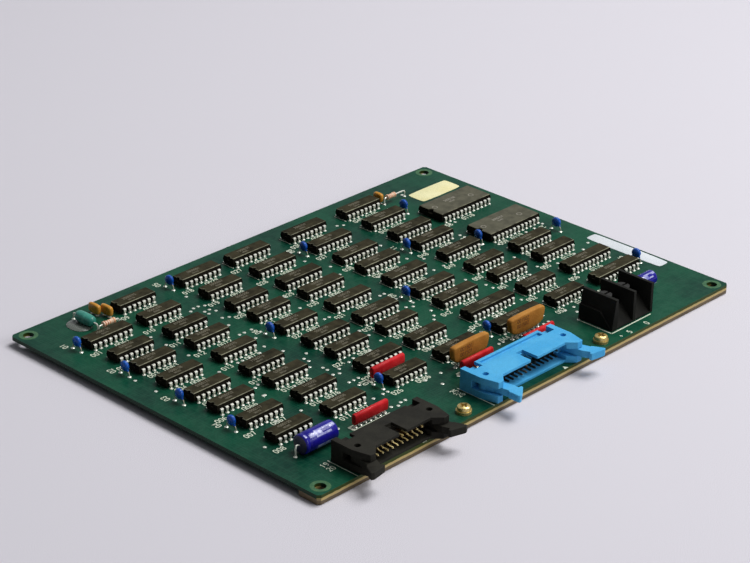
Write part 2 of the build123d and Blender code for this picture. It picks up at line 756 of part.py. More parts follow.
save(make_disc_capacitors(), "disc_capacitors")
save(make_disc_leads(), "disc_capacitor_leads")
for number, place in enumerate(CERAMIC_PLACES, 1):
    save(make_ceramic(place), "ceramic_capacitor_" + str(number))
save(make_ceramic_leads(), "ceramic_capacitor_leads")
save(make_can(LARGE_CAN, CAN_D, CAN_L), "large_electrolytic")
save(make_can(SMALL_CAN, SMALL_CAN_D, SMALL_CAN_L), "small_electrolytic")
save(make_film_capacitor(), "film_capacitor")
save(make_glue(), "glue")
for number, place in enumerate(RESISTOR_PLACES, 1):
    save(make_resistor(place), "resistor_" + str(number))
save(make_axial_leads(), "axial_leads")
for name, (column, row, length, width) in LABELS.items():
    save(make_label(column, row, length, width), name)
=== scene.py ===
"""Looks of a through-hole logic board with two latched headers and a terminal block.

The code works in millimetres and the meshes are made in metres. The frame is that of the CAD model:
the origin lies between the four corner holes on the underside, +X runs along the connector edge, +Y
away from it, and +Z is the component side.
"""
import json
import logging
import math
from dataclasses import dataclass, field, replace
from enum import Enum
from typing import Iterable, Sequence

import bpy
import numpy as np
from mathutils import Matrix, Vector


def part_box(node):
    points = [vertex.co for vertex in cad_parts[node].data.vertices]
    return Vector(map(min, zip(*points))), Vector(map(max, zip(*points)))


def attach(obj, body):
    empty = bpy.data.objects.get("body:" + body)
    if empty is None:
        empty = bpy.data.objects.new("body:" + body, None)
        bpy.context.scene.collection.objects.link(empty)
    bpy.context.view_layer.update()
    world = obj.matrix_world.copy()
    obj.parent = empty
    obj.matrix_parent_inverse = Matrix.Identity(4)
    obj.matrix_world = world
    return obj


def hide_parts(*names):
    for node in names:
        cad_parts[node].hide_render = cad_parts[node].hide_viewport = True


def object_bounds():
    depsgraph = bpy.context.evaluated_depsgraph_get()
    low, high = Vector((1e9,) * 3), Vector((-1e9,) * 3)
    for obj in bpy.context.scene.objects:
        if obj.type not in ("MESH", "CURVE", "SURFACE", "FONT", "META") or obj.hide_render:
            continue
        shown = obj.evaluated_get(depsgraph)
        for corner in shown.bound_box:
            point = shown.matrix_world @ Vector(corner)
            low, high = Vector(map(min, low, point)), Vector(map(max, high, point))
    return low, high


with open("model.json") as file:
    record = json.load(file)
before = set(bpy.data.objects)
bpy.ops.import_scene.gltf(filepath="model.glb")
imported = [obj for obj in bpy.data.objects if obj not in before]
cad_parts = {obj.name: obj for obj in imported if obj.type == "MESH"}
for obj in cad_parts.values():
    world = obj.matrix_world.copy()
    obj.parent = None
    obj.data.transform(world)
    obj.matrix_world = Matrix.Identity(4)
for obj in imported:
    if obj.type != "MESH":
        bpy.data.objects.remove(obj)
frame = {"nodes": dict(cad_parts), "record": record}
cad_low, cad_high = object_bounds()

log = logging.getLogger("board")

MM = 0.001
PITCH = 2.54
X_AXIS = (1.0, 0.0, 0.0)
Y_AXIS = (0.0, 1.0, 0.0)
Z_AXIS = (0.0, 0.0, 1.0)
LEFTWARDS = (-1.0, 0.0, 0.0)
DOWNWARDS = (0.0, 0.0, -1.0)
SUNK = 0.01                     # how far flat shapes reach into the board
FLOOR_GAP = 0.0002              # from the part's lowest point to the floor, in metres
WELD_WITHIN = 1e-6              # corners this close are one, in metres
BEVEL_FROM = 30                 # CAD edges sharper than this are rounded, in degrees

Colour = tuple[float, float, float]
Places = Sequence[tuple[int, int, int]]
Pairs = Sequence[tuple[float, float]]
Path = Sequence[Sequence[float]]
Socket = bpy.types.NodeSocket
Tree = bpy.types.NodeTree


class Body(Enum):
    """Bodies that pieces ride on."""

    BOARD = "board"
    LATCH_20_LEFT = "header_20_left_latch"
    LATCH_20_RIGHT = "header_20_right_latch"
    LATCH_26_LEFT = "header_26_left_latch"
    LATCH_26_RIGHT = "header_26_right_latch"


# ---------------------------------------------------------------- shapes
@dataclass
class Form:
    """Faces of one or more closed shapes, in millimetres.

    `corners` holds the numbers of each face's points, one face after the other, `sizes` how many each
    face has, `finish` its place in the piece's list of finishes, and `tone` how worn it is, 0 to 1.
    """

    points: np.ndarray
    corners: np.ndarray
    sizes: np.ndarray
    finish: np.ndarray
    tone: np.ndarray

    @staticmethod
    def joined(forms: Sequence["Form"]) -> "Form":
        """Joins forms into one.

        Args:
            forms: The forms to join.

        Returns:
            One form that holds all their faces.
        """
        starts = np.cumsum([0] + [len(form.points) for form in forms[:-1]])
        parts = [(form.points, form.corners + start, form.sizes, form.finish, form.tone)
                 for form, start in zip(forms, starts)]
        return Form(*(np.concatenate(part) for part in zip(*parts)))

    def placed(self, origin: Sequence[float], x_axis: Sequence[float] = X_AXIS,
               y_axis: Sequence[float] = Y_AXIS) -> "Form":
        """Moves the form into a frame given by an origin and two axes at right angles.

        Args:
            origin: Where the form's own origin goes.
            x_axis: Where its x axis points.
            y_axis: Where its y axis points.

        Returns:
            The form in its new place.
        """
        axes = np.array([x_axis, y_axis, np.cross(x_axis, y_axis)], float)
        return replace(self, points=self.points @ axes + np.asarray(origin, float))

    def copies(self, origins: np.ndarray, turns: np.ndarray | float = 0.0,
               tones: np.ndarray | None = None) -> "Form":
        """Repeats the form, turning each copy about Z before it is moved.

        Args:
            origins: Places of the copies, one row of three values each.
            turns: Turn of each copy in degrees.
            tones: Tone of each copy, or nothing to keep the form's own.

        Returns:
            One form that holds all the copies.
        """
        origins = np.asarray(origins, float).reshape(-1, 3)
        count = len(origins)
        angle = np.radians(np.broadcast_to(np.asarray(turns, float), (count,)))[:, None]
        x, y = self.points[None, :, 0], self.points[None, :, 1]
        points = np.stack([x * np.cos(angle) - y * np.sin(angle), x * np.sin(angle) + y * np.cos(angle),
                           np.broadcast_to(self.points[None, :, 2], (count, len(self.points)))], -1)
        steps = np.arange(count)[:, None] * len(self.points)
        tone = np.tile(self.tone, count) if tones is None else np.repeat(tones, len(self.tone))
        return Form((points + origins[:, None]).reshape(-1, 3), (self.corners[None] + steps).ravel(),
                    np.tile(self.sizes, count), np.tile(self.finish, count), tone)

    def painted(self, finish: int) -> "Form":
        """Gives every face the finish of that number in the piece's list."""
        return replace(self, finish=np.full_like(self.finish, finish))


def loft(rings: np.ndarray, finish: np.ndarray | int = 0, ends: tuple[int, int] = (0, 0),
         endless: bool = False, tone: float = 0.5) -> Form:
    """Skin over rings of points: a grid of two parameters, round each ring and from ring to ring.

    Args:
        rings: Points as (ring, point, xyz). The rings go upwards and turn anticlockwise from above.
        finish: One finish, or one for each band, or one for each face as (band, point).
        ends: Finishes of the first and last face.
        endless: Whether the last ring meets the first, as in a hoop, so that there are no end faces.
        tone: Tone of every face.

    Returns:
        The closed form.
    """
    count, around = rings.shape[:2]
    bands = count if endless else count - 1
    low = (np.arange(bands) * around)[:, None]
    high = ((np.arange(bands) + 1) % count * around)[:, None]
    here = np.arange(around)[None]
    after = (here + 1) % around
    quads = np.stack([low + here, low + after, high + after, high + here], -1).reshape(-1, 4)
    paint = np.asarray(finish)
    paint = paint[:, None] if paint.ndim == 1 else paint
    paint = np.broadcast_to(paint, (bands, around)).ravel()
    corners = [quads.ravel()]
    sizes = [np.full(len(quads), 4)]
    if not endless:
        corners += [here[0, ::-1], (count - 1) * around + here[0]]
        sizes += [np.array([around, around])]
        paint = np.concatenate([paint, ends])
    sizes = np.concatenate(sizes)
    return Form(rings.reshape(-1, 3), np.concatenate(corners), sizes, paint, np.full(len(sizes), tone))


def circle(sides: int, radius: float = 1.0) -> np.ndarray:
    """Points evenly round a circle: cosine and sine of equal steps of a full turn."""
    angle = np.arange(sides) * 2 * np.pi / sides
    return radius * np.stack([np.cos(angle), np.sin(angle)], -1)


def lathe(profile: Pairs, sides: int, finish: np.ndarray | int = 0,
          ends: tuple[int, int] = (0, 0), endless: bool = False) -> Form:
    """Turned shape about Z: a profile of radius and height carried round a circle.

    Args:
        profile: Radius and height of each ring.
        sides: Number of flats.
        finish: Finish of each band.
        ends: Finishes of the bottom and top face.
        endless: Whether the profile is a closed loop, as of a washer.

    Returns:
        The turned form.
    """
    profile = np.asarray(profile, float)
    rings = np.empty((len(profile), sides, 3))
    rings[..., :2] = profile[:, 0, None, None] * circle(sides)
    rings[..., 2] = profile[:, 1, None]
    return loft(rings, finish, ends, endless)


def hoop(outer: float, inner: float, low: float, high: float, sides: int) -> Form:
    """Flat ring about Z with a square section, between two radii and two heights."""
    profile = [(outer, low), (outer, high), (inner, high), (inner, low)]
    return lathe(profile, sides, endless=True)


def smoothed(polygon: Pairs, rounds: int) -> np.ndarray:
    """Rounds a polygon's corners: each side is cut at a quarter and three quarters, again and again.

    Args:
        polygon: Corners, anticlockwise.
        rounds: Number of times that the corners are cut.

    Returns:
        The outline as (point, xy).
    """
    outline = np.asarray(polygon, float)
    for _ in range(rounds):
        after = np.roll(outline, -1, axis=0)
        outline = np.stack([0.75 * outline + 0.25 * after, 0.25 * outline + 0.75 * after], 1).reshape(-1, 2)
    return outline


def pulled_in(outline: np.ndarray, distance: float) -> np.ndarray:
    """Moves every point of an outline inwards, at right angles to the line between its neighbours.

    Args:
        outline: Outline, anticlockwise.
        distance: How far the points move.

    Returns:
        The smaller outline.
    """
    along = np.roll(outline, -1, axis=0) - np.roll(outline, 1, axis=0)
    along /= np.linalg.norm(along, axis=1, keepdims=True)
    return outline + distance * np.stack([-along[:, 1], along[:, 0]], -1)


def stacked(levels: Iterable[tuple[np.ndarray, float]], *finish: object, tone: float = 0.5) -> Form:
    """Skin over flat outlines, each at its own height.

    Args:
        levels: Outline as (point, xy) and height of each ring, upwards.
        finish: Finish of each band and finishes of the end faces, as in loft.
        tone: Tone of every face.

    Returns:
        The closed form.
    """
    rings = [np.insert(outline, 2, height, axis=1) for outline, height in levels]
    return loft(np.array(rings), *finish, tone=tone)


def slab(outline: np.ndarray, levels: Pairs) -> Form:
    """Solid between copies of an outline, each at its height and pulled in by its own amount.

    Args:
        outline: Outline, anticlockwise.
        levels: Height and inward distance of each ring, upwards.

    Returns:
        The solid.
    """
    return stacked((pulled_in(outline, distance), height) for height, distance in levels)


def pillow(outline: np.ndarray, low: float, high: float, edge: float, steps: int = 3) -> Form:
    """Slab with rounded rims: near each face the outline draws in along a quarter circle.

    Args:
        outline: Outline, anticlockwise.
        low: Height of its underside.
        high: Height of its top.
        edge: Radius of the rims.
        steps: Rings on each rim.

    Returns:
        The rounded slab.
    """
    turn = np.radians(np.linspace(8, 90, steps + 1))
    lower = list(zip(low + edge * (1 - np.cos(turn)), edge * (1 - np.sin(turn))))
    upper = [(high - height + low, distance) for height, distance in reversed(lower)]
    return slab(outline, lower + upper)


def rectangle(half_x: float, half_y: float, corner: float = 0.0) -> np.ndarray:
    """Rectangle about the origin with its corners cut.

    Args:
        half_x: Half its length.
        half_y: Half its width.
        corner: Size of the corner cuts.

    Returns:
        The outline, anticlockwise.
    """
    x, y = half_x - corner, half_y - corner
    points = [(half_x, -y), (half_x, y), (x, half_y), (-x, half_y),
              (-half_x, y), (-half_x, -y), (-x, -half_y), (x, -half_y)]
    return np.array(points if corner else [(x, -y), (x, y), (-x, y), (-x, -y)])


def sweep(path: np.ndarray, sections: np.ndarray, across: Sequence[float] = X_AXIS) -> Form:
    """Section carried along a path, mitred at its bends.

    Args:
        path: Points of the path as (point, xyz).
        sections: Section as (corner, uv), or one for each point of the path. U lies along `across`.
        across: Direction that stays at right angles to the path.

    Returns:
        The closed form.
    """
    path = np.asarray(path, float)
    steps = np.diff(path, axis=0)
    steps /= np.linalg.norm(steps, axis=1, keepdims=True)
    before = np.concatenate([steps[:1], steps])
    along = before + np.concatenate([steps, steps[-1:]])
    along /= np.linalg.norm(along, axis=1, keepdims=True)
    mitre = 1 / np.clip((along * before).sum(1), 0.6, 1)
    v = np.cross(along, across)
    v /= np.linalg.norm(v, axis=1, keepdims=True)
    u = np.cross(v, along)
    sections = np.broadcast_to(sections, (len(path),) + np.shape(sections)[-2:])
    rings = path[:, None] + sections[..., :1] * u[:, None]
    return loft(rings + sections[..., 1:] * (v * mitre[:, None])[:, None])


def strip(path: Path, widths: Sequence[float], thickness: float) -> Form:
    """Flat metal strip bent along a path.

    Args:
        path: Points of its middle line.
        widths: Its width along X at each point.
        thickness: Its thickness.

    Returns:
        The strip.
    """
    section = rectangle(1, thickness / 2)
    return sweep(path, [section * (width / 2, 1) for width in widths])


def wire(path: Path, radii: Sequence[float] | float, sides: int = 8,
         across: Sequence[float] = X_AXIS) -> Form:
    """Round wire bent along a path, with one radius or one for each point."""
    radii = np.broadcast_to(radii, (len(path),))
    return sweep(path, radii[:, None, None] * circle(sides)[None], across)


# ---------------------------------------------------------------- shading
def paint(red: float, green: float, blue: float) -> tuple[float, float, float, float]:
    """Turns a colour as it is seen on screen, 0 to 255, into the light values that shaders take.

    Args:
        red: Red as seen.
        green: Green as seen.
        blue: Blue as seen.

    Returns:
        The four values of a colour socket.
    """
    seen = np.array([red, green, blue]) / 255
    light = np.where(seen <= 0.04045, seen / 12.92, ((seen + 0.055) / 1.055) ** 2.4)
    return (*light.tolist(), 1.0)


class Graph:
    """Adds nodes to one node tree."""

    def __init__(self, tree: Tree) -> None:
        """Takes the tree that the nodes go into."""
        self.tree = tree

    def node(self, kind: str, inputs: dict | None = None, **settings: object) -> bpy.types.Node:
        """Adds a node.

        Args:
            kind: Its type without the leading ShaderNode.
            inputs: Values or sockets for its inputs, by name or number.
            settings: Its own settings.

        Returns:
            The node.
        """
        node = self.tree.nodes.new("ShaderNode" + kind)
        for name, value in settings.items():
            setattr(node, name, value)
        for name, value in (inputs or {}).items():
            self.feed(node.inputs[name], value)
        return node

    def feed(self, socket: Socket, value: object) -> None:
        """Links a socket to a value's socket, or sets it.

        Args:
            socket: The input.
            value: A socket or a plain value.
        """
        if isinstance(value, Socket):
            self.tree.links.new(value, socket)
        else:
            socket.default_value = value

    def math(self, operation: str, *values: object) -> Socket:
        """Adds a calculation on sockets or numbers."""
        return self.node("Math", dict(enumerate(values)), operation=operation).outputs[0]

    def ramp(self, value: object, low: float, high: float, start: float = 0.0,
             end: float = 1.0) -> Socket:
        """Adds a smooth rise from start to end while a value goes from low to high."""
        inputs = {"Value": value, "From Min": low, "From Max": high, "To Min": start, "To Max": end}
        return self.node("MapRange", inputs, interpolation_type="SMOOTHSTEP").outputs["Result"]

    def mix(self, factor: object, first: object, second: object) -> Socket:
        """Mixes two colours.

        Args:
            factor: Share of the second.
            first: First colour.
            second: Second colour.

        Returns:
            The mixed colour.
        """
        node = self.node("Mix", data_type="RGBA")
        for number, value in ((0, factor), (6, first), (7, second)):
            self.feed(node.inputs[number], value)
        return node.outputs[2]

    def noise(self, vector: Socket, size: object, detail: float = 2.0) -> Socket:
        """Adds cloudy noise, about 0.3 to 0.7, with patches of a size in millimetres."""
        scale = self.math("DIVIDE", 1.0, size)
        return self.node("TexNoise", {"Vector": vector, "Scale": scale, "Detail": detail}).outputs["Fac"]

    def part(self, vector: Socket, axis: str) -> Socket:
        """Takes one axis of a vector."""
        return self.node("SeparateXYZ", {0: vector}).outputs[axis]

    def normal(self) -> Socket:
        """Adds the direction that the surface faces."""
        return self.node("NewGeometry").outputs["Normal"]

    def millimetres(self) -> Socket:
        """Adds the place on the object in millimetres."""
        place = self.node("TexCoord").outputs["Object"]
        return self.node("VectorMath", {0: place, 1: (1000.0,) * 3}, operation="MULTIPLY").outputs[0]

    def facing(self, axis: str) -> Socket:
        """Adds a mask of the faces that look along an axis, either way."""
        return self.ramp(self.math("ABSOLUTE", self.part(self.normal(), axis)), 0.6, 0.9)

    def ragged_height(self, wander: float) -> Socket:
        """Adds the height in millimetres, made uneven by noise of a given strength."""
        place = self.millimetres()
        return self.math("MULTIPLY_ADD", self.noise(place, 2.5), wander, self.part(place, "Z"))


def shared_group(name: str, numbers: Sequence[str], colours: Sequence[str] = ()) -> tuple[Graph, dict]:
    """Makes a node group that holds only its inputs.

    Args:
        name: Name of the group.
        numbers: Names of its inputs that are numbers.
        colours: Names of its inputs that are colours.

    Returns:
        The group's graph and its inputs by name.
    """
    tree = bpy.data.node_groups.new(name, "ShaderNodeTree")
    for label in (*colours, *numbers):
        kind = "NodeSocketColor" if label in colours else "NodeSocketFloat"
        tree.interface.new_socket(name=label, in_out="INPUT", socket_type=kind)
    source = tree.nodes.new("NodeGroupInput")
    return Graph(tree), {socket.name: socket for socket in source.outputs}


def finished_group(graph: Graph, **results: Socket) -> Tree:
    """Gives a node group its outputs.

    Args:
        graph: The group's graph.
        results: What each output takes, by name.

    Returns:
        The group.
    """
    for label, result in results.items():
        kind = type(result).__name__.replace("FloatFactor", "Float")
        graph.tree.interface.new_socket(name=label, in_out="OUTPUT", socket_type=kind)
    sink = graph.tree.nodes.new("NodeGroupOutput")
    for label, result in results.items():
        graph.feed(sink.inputs[label], result)
    return graph.tree


def make_weathering() -> Tree:
    """Patchy ageing, fine grain and settled dust, shared by every finish.

    Returns:
        The group. It gives a colour, a roughness and a bumped normal.
    """
    graph, given = shared_group("Weathering", ("Patch", "Dusting", "Rough", "Grain", "Grain Size"),
                                ("Base", "Aged", "Dust"))
    place = graph.millimetres()
    tone = graph.node("Attribute", attribute_name="tone").outputs["Fac"]
    patches = graph.ramp(graph.noise(place, given["Patch"], 4.0), 0.35, 0.65)
    ageing = graph.math("MULTIPLY_ADD", tone, 0.5, graph.math("MULTIPLY", patches, 0.6))
    colour = graph.mix(graph.math("MINIMUM", ageing, 1.0), given["Base"], given["Aged"])
    upward = graph.ramp(graph.part(graph.normal(), "Z"), 0.3, 0.95)
    settled = graph.math("MULTIPLY", upward, graph.ramp(graph.noise(place, 3.0, 5.0), 0.3, 0.72))
    dusting = graph.math("MULTIPLY", settled, given["Dusting"])
    colour = graph.mix(dusting, colour, given["Dust"])
    grain = graph.noise(place, given["Grain Size"], 2.0)
    shade = graph.ramp(grain, 0.3, 0.7, 0.86, 1.12)
    colour = graph.node("VectorMath", {0: colour, "Scale": shade}, operation="SCALE").outputs[0]
    uneven = graph.math("MULTIPLY", graph.math("SUBTRACT", patches, 0.5), 0.12)
    rough = graph.math("MULTIPLY_ADD", dusting, 0.3, graph.math("ADD", given["Rough"], uneven))
    bump = graph.node("Bump", {"Height": grain, "Strength": given["Grain"], "Distance": 0.0001})
    return finished_group(graph, Color=colour, Roughness=graph.math("MINIMUM", rough, 1.0),
                          Normal=bump.outputs["Normal"])


def make_tracks() -> Tree:
    """Copper tracks under the solder mask: broken lines on a half-pitch grid, in runs along X and Y.

    Returns:
        The group. It gives the mask of the tracks.
    """
    graph, _ = shared_group("Tracks", ())
    place = graph.millimetres()
    masks = []
    for across, along, run in (("X", "Y", 17.0), ("Y", "X", 9.0)):
        lane = graph.math("DIVIDE", graph.part(place, across), PITCH / 2)
        number = graph.math("FLOOR", lane)
        off = graph.math("ABSOLUTE", graph.math("SUBTRACT", graph.math("SUBTRACT", lane, number), 0.5))
        line = graph.ramp(off, 0.13, 0.18, 1.0, 0.0)
        offset = graph.node("TexWhiteNoise", {"W": number}, noise_dimensions="1D").outputs["Value"]
        steps = graph.math("ADD", graph.math("DIVIDE", graph.part(place, along), run), offset)
        pair = graph.node("CombineXYZ", {"X": number, "Y": graph.math("FLOOR", steps)}).outputs[0]
        chance = graph.node("TexWhiteNoise", {"Vector": pair}, noise_dimensions="2D").outputs["Value"]
        masks.append(graph.math("MULTIPLY", line, graph.math("GREATER_THAN", chance, 0.55)))
    return finished_group(graph, Mask=graph.math("MAXIMUM", *masks))


BUILT: dict[str, bpy.types.Material] = {}
WEATHERING = make_weathering()
TRACKS = make_tracks()


@dataclass(frozen=True)
class Finish:
    """One finish. Colours are as seen, 0 to 255, and sizes are in millimetres."""

    name: str
    base: Colour
    aged: Colour
    rough: float = 0.5
    metal: float = 0.0
    coat: float = 0.0
    shine: float = 0.5
    dusting: float = 0.0
    dust: Colour = (120, 115, 100)
    patch: float = 12.0
    grain: float = 0.2
    grain_size: float = 0.3
    clear: float = 0.0

    def detail(self, graph: Graph, colour: Socket) -> Socket:
        """Gives the weathered colour back with what only this kind of finish has."""
        return colour

    def build(self) -> bpy.types.Material:
        """Makes the material once.

        Returns:
            The material.
        """
        if self.name in BUILT:
            return BUILT[self.name]
        made = BUILT[self.name] = bpy.data.materials.new("look_" + self.name)
        made.use_nodes = True
        graph = Graph(made.node_tree)
        shader = made.node_tree.nodes["Principled BSDF"]
        group = graph.node("Group", node_tree=WEATHERING)
        values = {"Base": paint(*self.base), "Aged": paint(*self.aged), "Dust": paint(*self.dust),
                  "Patch": self.patch, "Dusting": self.dusting, "Rough": self.rough,
                  "Grain": self.grain, "Grain Size": self.grain_size}
        for name, value in values.items():
            group.inputs[name].default_value = value
        sockets = {"Base Color": self.detail(graph, group.outputs["Color"]),
                   "Roughness": group.outputs["Roughness"], "Normal": group.outputs["Normal"],
                   "Metallic": self.metal, "Coat Weight": self.coat, "Coat Roughness": 0.12,
                   "Specular IOR Level": self.shine, "Transmission Weight": self.clear}
        for name, value in sockets.items():
            graph.feed(shader.inputs[name], value)
        made.diffuse_color = paint(*self.base)
        return made


@dataclass(frozen=True)
class MaskFinish(Finish):
    """Solder mask over tracks on its faces, bare laminate on its edges, and painted shade on the edges that
    face along X.
    """

    track: Colour = (44, 100, 76)
    track_share: float = 0.17
    laminate: Colour = (186, 164, 104)
    overlap: Colour = (58, 70, 30)
    # Painted shade: the colour of the edges that face along X.
    stained: Colour = (30, 54, 40)

    def detail(self, graph: Graph, colour: Socket) -> Socket:
        """Adds the tracks, the laminate's edge and the painted shade on the edges that face along X.

        Args:
            graph: The material's graph.
            colour: The weathered colour.

        Returns:
            The colour with both.
        """
        tracks = graph.node("Group", node_tree=TRACKS).outputs["Mask"]
        colour = graph.mix(graph.math("MULTIPLY", tracks, self.track_share), colour, paint(*self.track))
        edge = graph.ramp(graph.math("ABSOLUTE", graph.part(graph.normal(), "Z")), 0.3, 0.6, 1.0, 0.0)
        upper = graph.ramp(graph.ragged_height(0.5), 0.5, 0.7)
        layers = graph.mix(upper, paint(*self.laminate), paint(*self.overlap))
        # Edges that face along X take painted shade.
        sideways = graph.facing("X")
        cut = graph.mix(sideways, layers, paint(*self.stained))
        return graph.mix(edge, colour, cut)


@dataclass(frozen=True)
class BarFinish(Finish):
    """Plating with a painted highlight along the upper edge of the bar's long sides."""

    rubbed: Colour = (190, 168, 110)

    def detail(self, graph: Graph, colour: Socket) -> Socket:
        """Adds the painted highlight.

        Args:
            graph: The material's graph.
            colour: The weathered colour.

        Returns:
            The colour with the edge.
        """
        # Painted highlight along the upper edge of the long sides.
        bright = graph.math("MULTIPLY", graph.ramp(graph.ragged_height(0.4), -0.7, -0.4), graph.facing("Y"))
        return graph.mix(bright, colour, paint(*self.rubbed))


MASK = MaskFinish("solder_mask", (0, 50, 38), (16, 84, 58), rough=0.34, shine=0.1, patch=34, grain=0.12,
                  grain_size=0.8, dusting=0.16, dust=(64, 104, 84))
INK = Finish("marking_ink", (232, 236, 216), (204, 214, 190), rough=0.7, patch=4)
TIN = Finish("tinned_lead", (242, 242, 232), (222, 222, 208), rough=0.3, metal=0.25, patch=2, grain=0.3)
SHAFT = Finish("dull_lead", (206, 206, 186), (170, 168, 146), rough=0.4, metal=0.2, patch=2, grain=0.3)
SOLDER = Finish("solder", (236, 238, 228), (212, 214, 200), rough=0.28, metal=0.35, patch=1.5, grain=0.4)
RESIN = Finish("package_resin", (34, 32, 23), (58, 54, 40), rough=0.75, shine=0.04, dusting=0.3,
               dust=(84, 80, 62), patch=5, grain=0.5, grain_size=0.15)
# Sides and underside of the packages: the same resin darkened as painted shade.
RESIN_SIDE = Finish("package_side_painted_shade", (20, 19, 15), (30, 28, 21), rough=0.75, shine=0.03, patch=5, grain=0.4,
                    grain_size=0.15)
# Top edge of the packages: lighter as wear and as a painted highlight.
RESIN_EDGE = Finish("package_edge_wear_and_highlight", (62, 60, 46), (150, 148, 122), rough=0.6, shine=0.15, patch=3, grain=0.3)
WIDE_RESIN = Finish("wide_package_resin", (78, 77, 65), (94, 92, 78), rough=0.7, shine=0.06, dusting=0.3,
                    dust=(116, 114, 98), patch=6, grain=0.4, grain_size=0.15)
STAMP = Finish("package_stamp", (92, 88, 72), (112, 106, 86), rough=0.7, patch=2)
WIDE_STAMP = Finish("wide_package_stamp", (128, 124, 112), (146, 142, 128), rough=0.7, patch=2)
# Gold of the pins: GOLD on the faces painted as lit, SHADED_GOLD on the faces in painted shade.
GOLD = Finish("gold_pin", (255, 240, 176), (252, 220, 138), rough=0.25, metal=0.15, patch=1.5)
SHADED_GOLD = Finish("gold_pin_painted_shade", (104, 74, 36), (78, 56, 28), rough=0.4, metal=0.4, patch=1.5)
# Dark, nearly black metal for the blue header's pins.
DARK_PIN = Finish("dark_header_pin", (92, 84, 70), (50, 44, 36), rough=0.4, metal=0.9, patch=1.5)
BLACK_NYLON = Finish("black_nylon", (36, 35, 31), (50, 49, 43), rough=0.55, shine=0.05, dusting=0.2,
                     dust=(66, 64, 58), patch=7, grain=0.35, grain_size=0.25)
BLUE_NYLON = Finish("blue_nylon", (70, 166, 220), (92, 182, 228), shine=0.08, patch=9, grain=0.25,
                    dusting=0.06, dust=(140, 204, 236), grain_size=0.25)
PHENOLIC = Finish("black_phenolic", (28, 28, 26), (38, 38, 35), shine=0.05, dusting=0.15,
                  dust=(56, 56, 52), patch=8)
ZINC = Finish("yellow_zinc", (222, 202, 136), (182, 154, 88), rough=0.3, metal=0.6, patch=1.6, grain=0.3)
# Zinc of the terminal plates and screws, darkened to near black as painted shade in the block's bays.
ZINC_IN_PAINTED_SHADE = Finish("zinc_in_painted_shade", (20, 19, 16), (16, 15, 13), rough=0.65, metal=0.1, patch=1.6, grain=0.3)
# The bar's yellow plating is darkened to brown as painted shade under the board's edge.
BAR = BarFinish("yellow_plated_bar", (104, 88, 60), (76, 66, 50), rough=0.45, metal=0.3, patch=16)
RED_RESIN = Finish("network_red", (186, 22, 30), (210, 44, 48), rough=0.42, shine=0.1, coat=0.05,
                   dusting=0.05, dust=(226, 110, 106), patch=3)
BROWN_RESIN = Finish("network_brown", (192, 136, 62), (168, 112, 48), rough=0.55, shine=0.08, dusting=0.05,
                     dust=(196, 150, 100), patch=5, grain=0.3)
BROWN_STAMP = Finish("network_stamp", (84, 50, 22), (104, 64, 30), rough=0.6, patch=2)
BLUE_DIP = Finish("disc_blue", (14, 68, 156), (30, 94, 188), rough=0.25, shine=0.2, coat=0.1, patch=1.6)
YELLOW_DIP = Finish("ceramic_yellow", (196, 132, 38), (208, 150, 60), rough=0.28, shine=0.2, coat=0.1,
                    patch=2)
TEAL_DIP = Finish("film_teal", (34, 116, 102), (66, 150, 134), rough=0.25, shine=0.25, coat=0.1, patch=4)
SLEEVE = Finish("sleeve_violet", (22, 18, 128), (36, 32, 152), rough=0.18, shine=0.25, coat=0.05, patch=4)
# Pale patches on the cans: partly print, partly painted highlight.
SLEEVE_PRINT_AND_HIGHLIGHT = Finish("sleeve_print_and_highlight", (196, 200, 230), (92, 90, 180), rough=0.3, coat=0.3, patch=1.1)
RUBBER = Finish("can_seal", (14, 13, 40), (24, 22, 58), patch=2)
CREAM = Finish("cream_paper", (238, 234, 186), (228, 220, 164), rough=0.8, patch=9, grain=0.15)
WHITE_PAPER = Finish("white_paper", (226, 230, 232), (206, 212, 216), rough=0.7, patch=14, grain=0.15)
PEACH = Finish("resistor_peach", (236, 206, 178), (222, 184, 150), coat=0.2, patch=1.5)
BAND_BROWN = Finish("resistor_band_brown", (180, 108, 72), (150, 84, 56), patch=1)
BAND_ORANGE = Finish("resistor_band_orange", (222, 154, 108), (200, 132, 88), patch=1)
GLUE = Finish("clear_glue", (206, 222, 206), (226, 234, 222), rough=0.22, clear=0.8, patch=3)
SPOT = Finish("bare_spot", (40, 86, 60), (78, 116, 78), rough=0.45, shine=0.2, patch=1.2, grain=0.3)


def linked(name: str, data: bpy.types.ID) -> bpy.types.Object:
    """Makes an object of a mesh, lamp or camera and puts it into the scene.

    Args:
        name: Name of the object.
        data: What it shows.

    Returns:
        The object.
    """
    made = bpy.data.objects.new(name, data)
    bpy.context.scene.collection.objects.link(made)
    return made


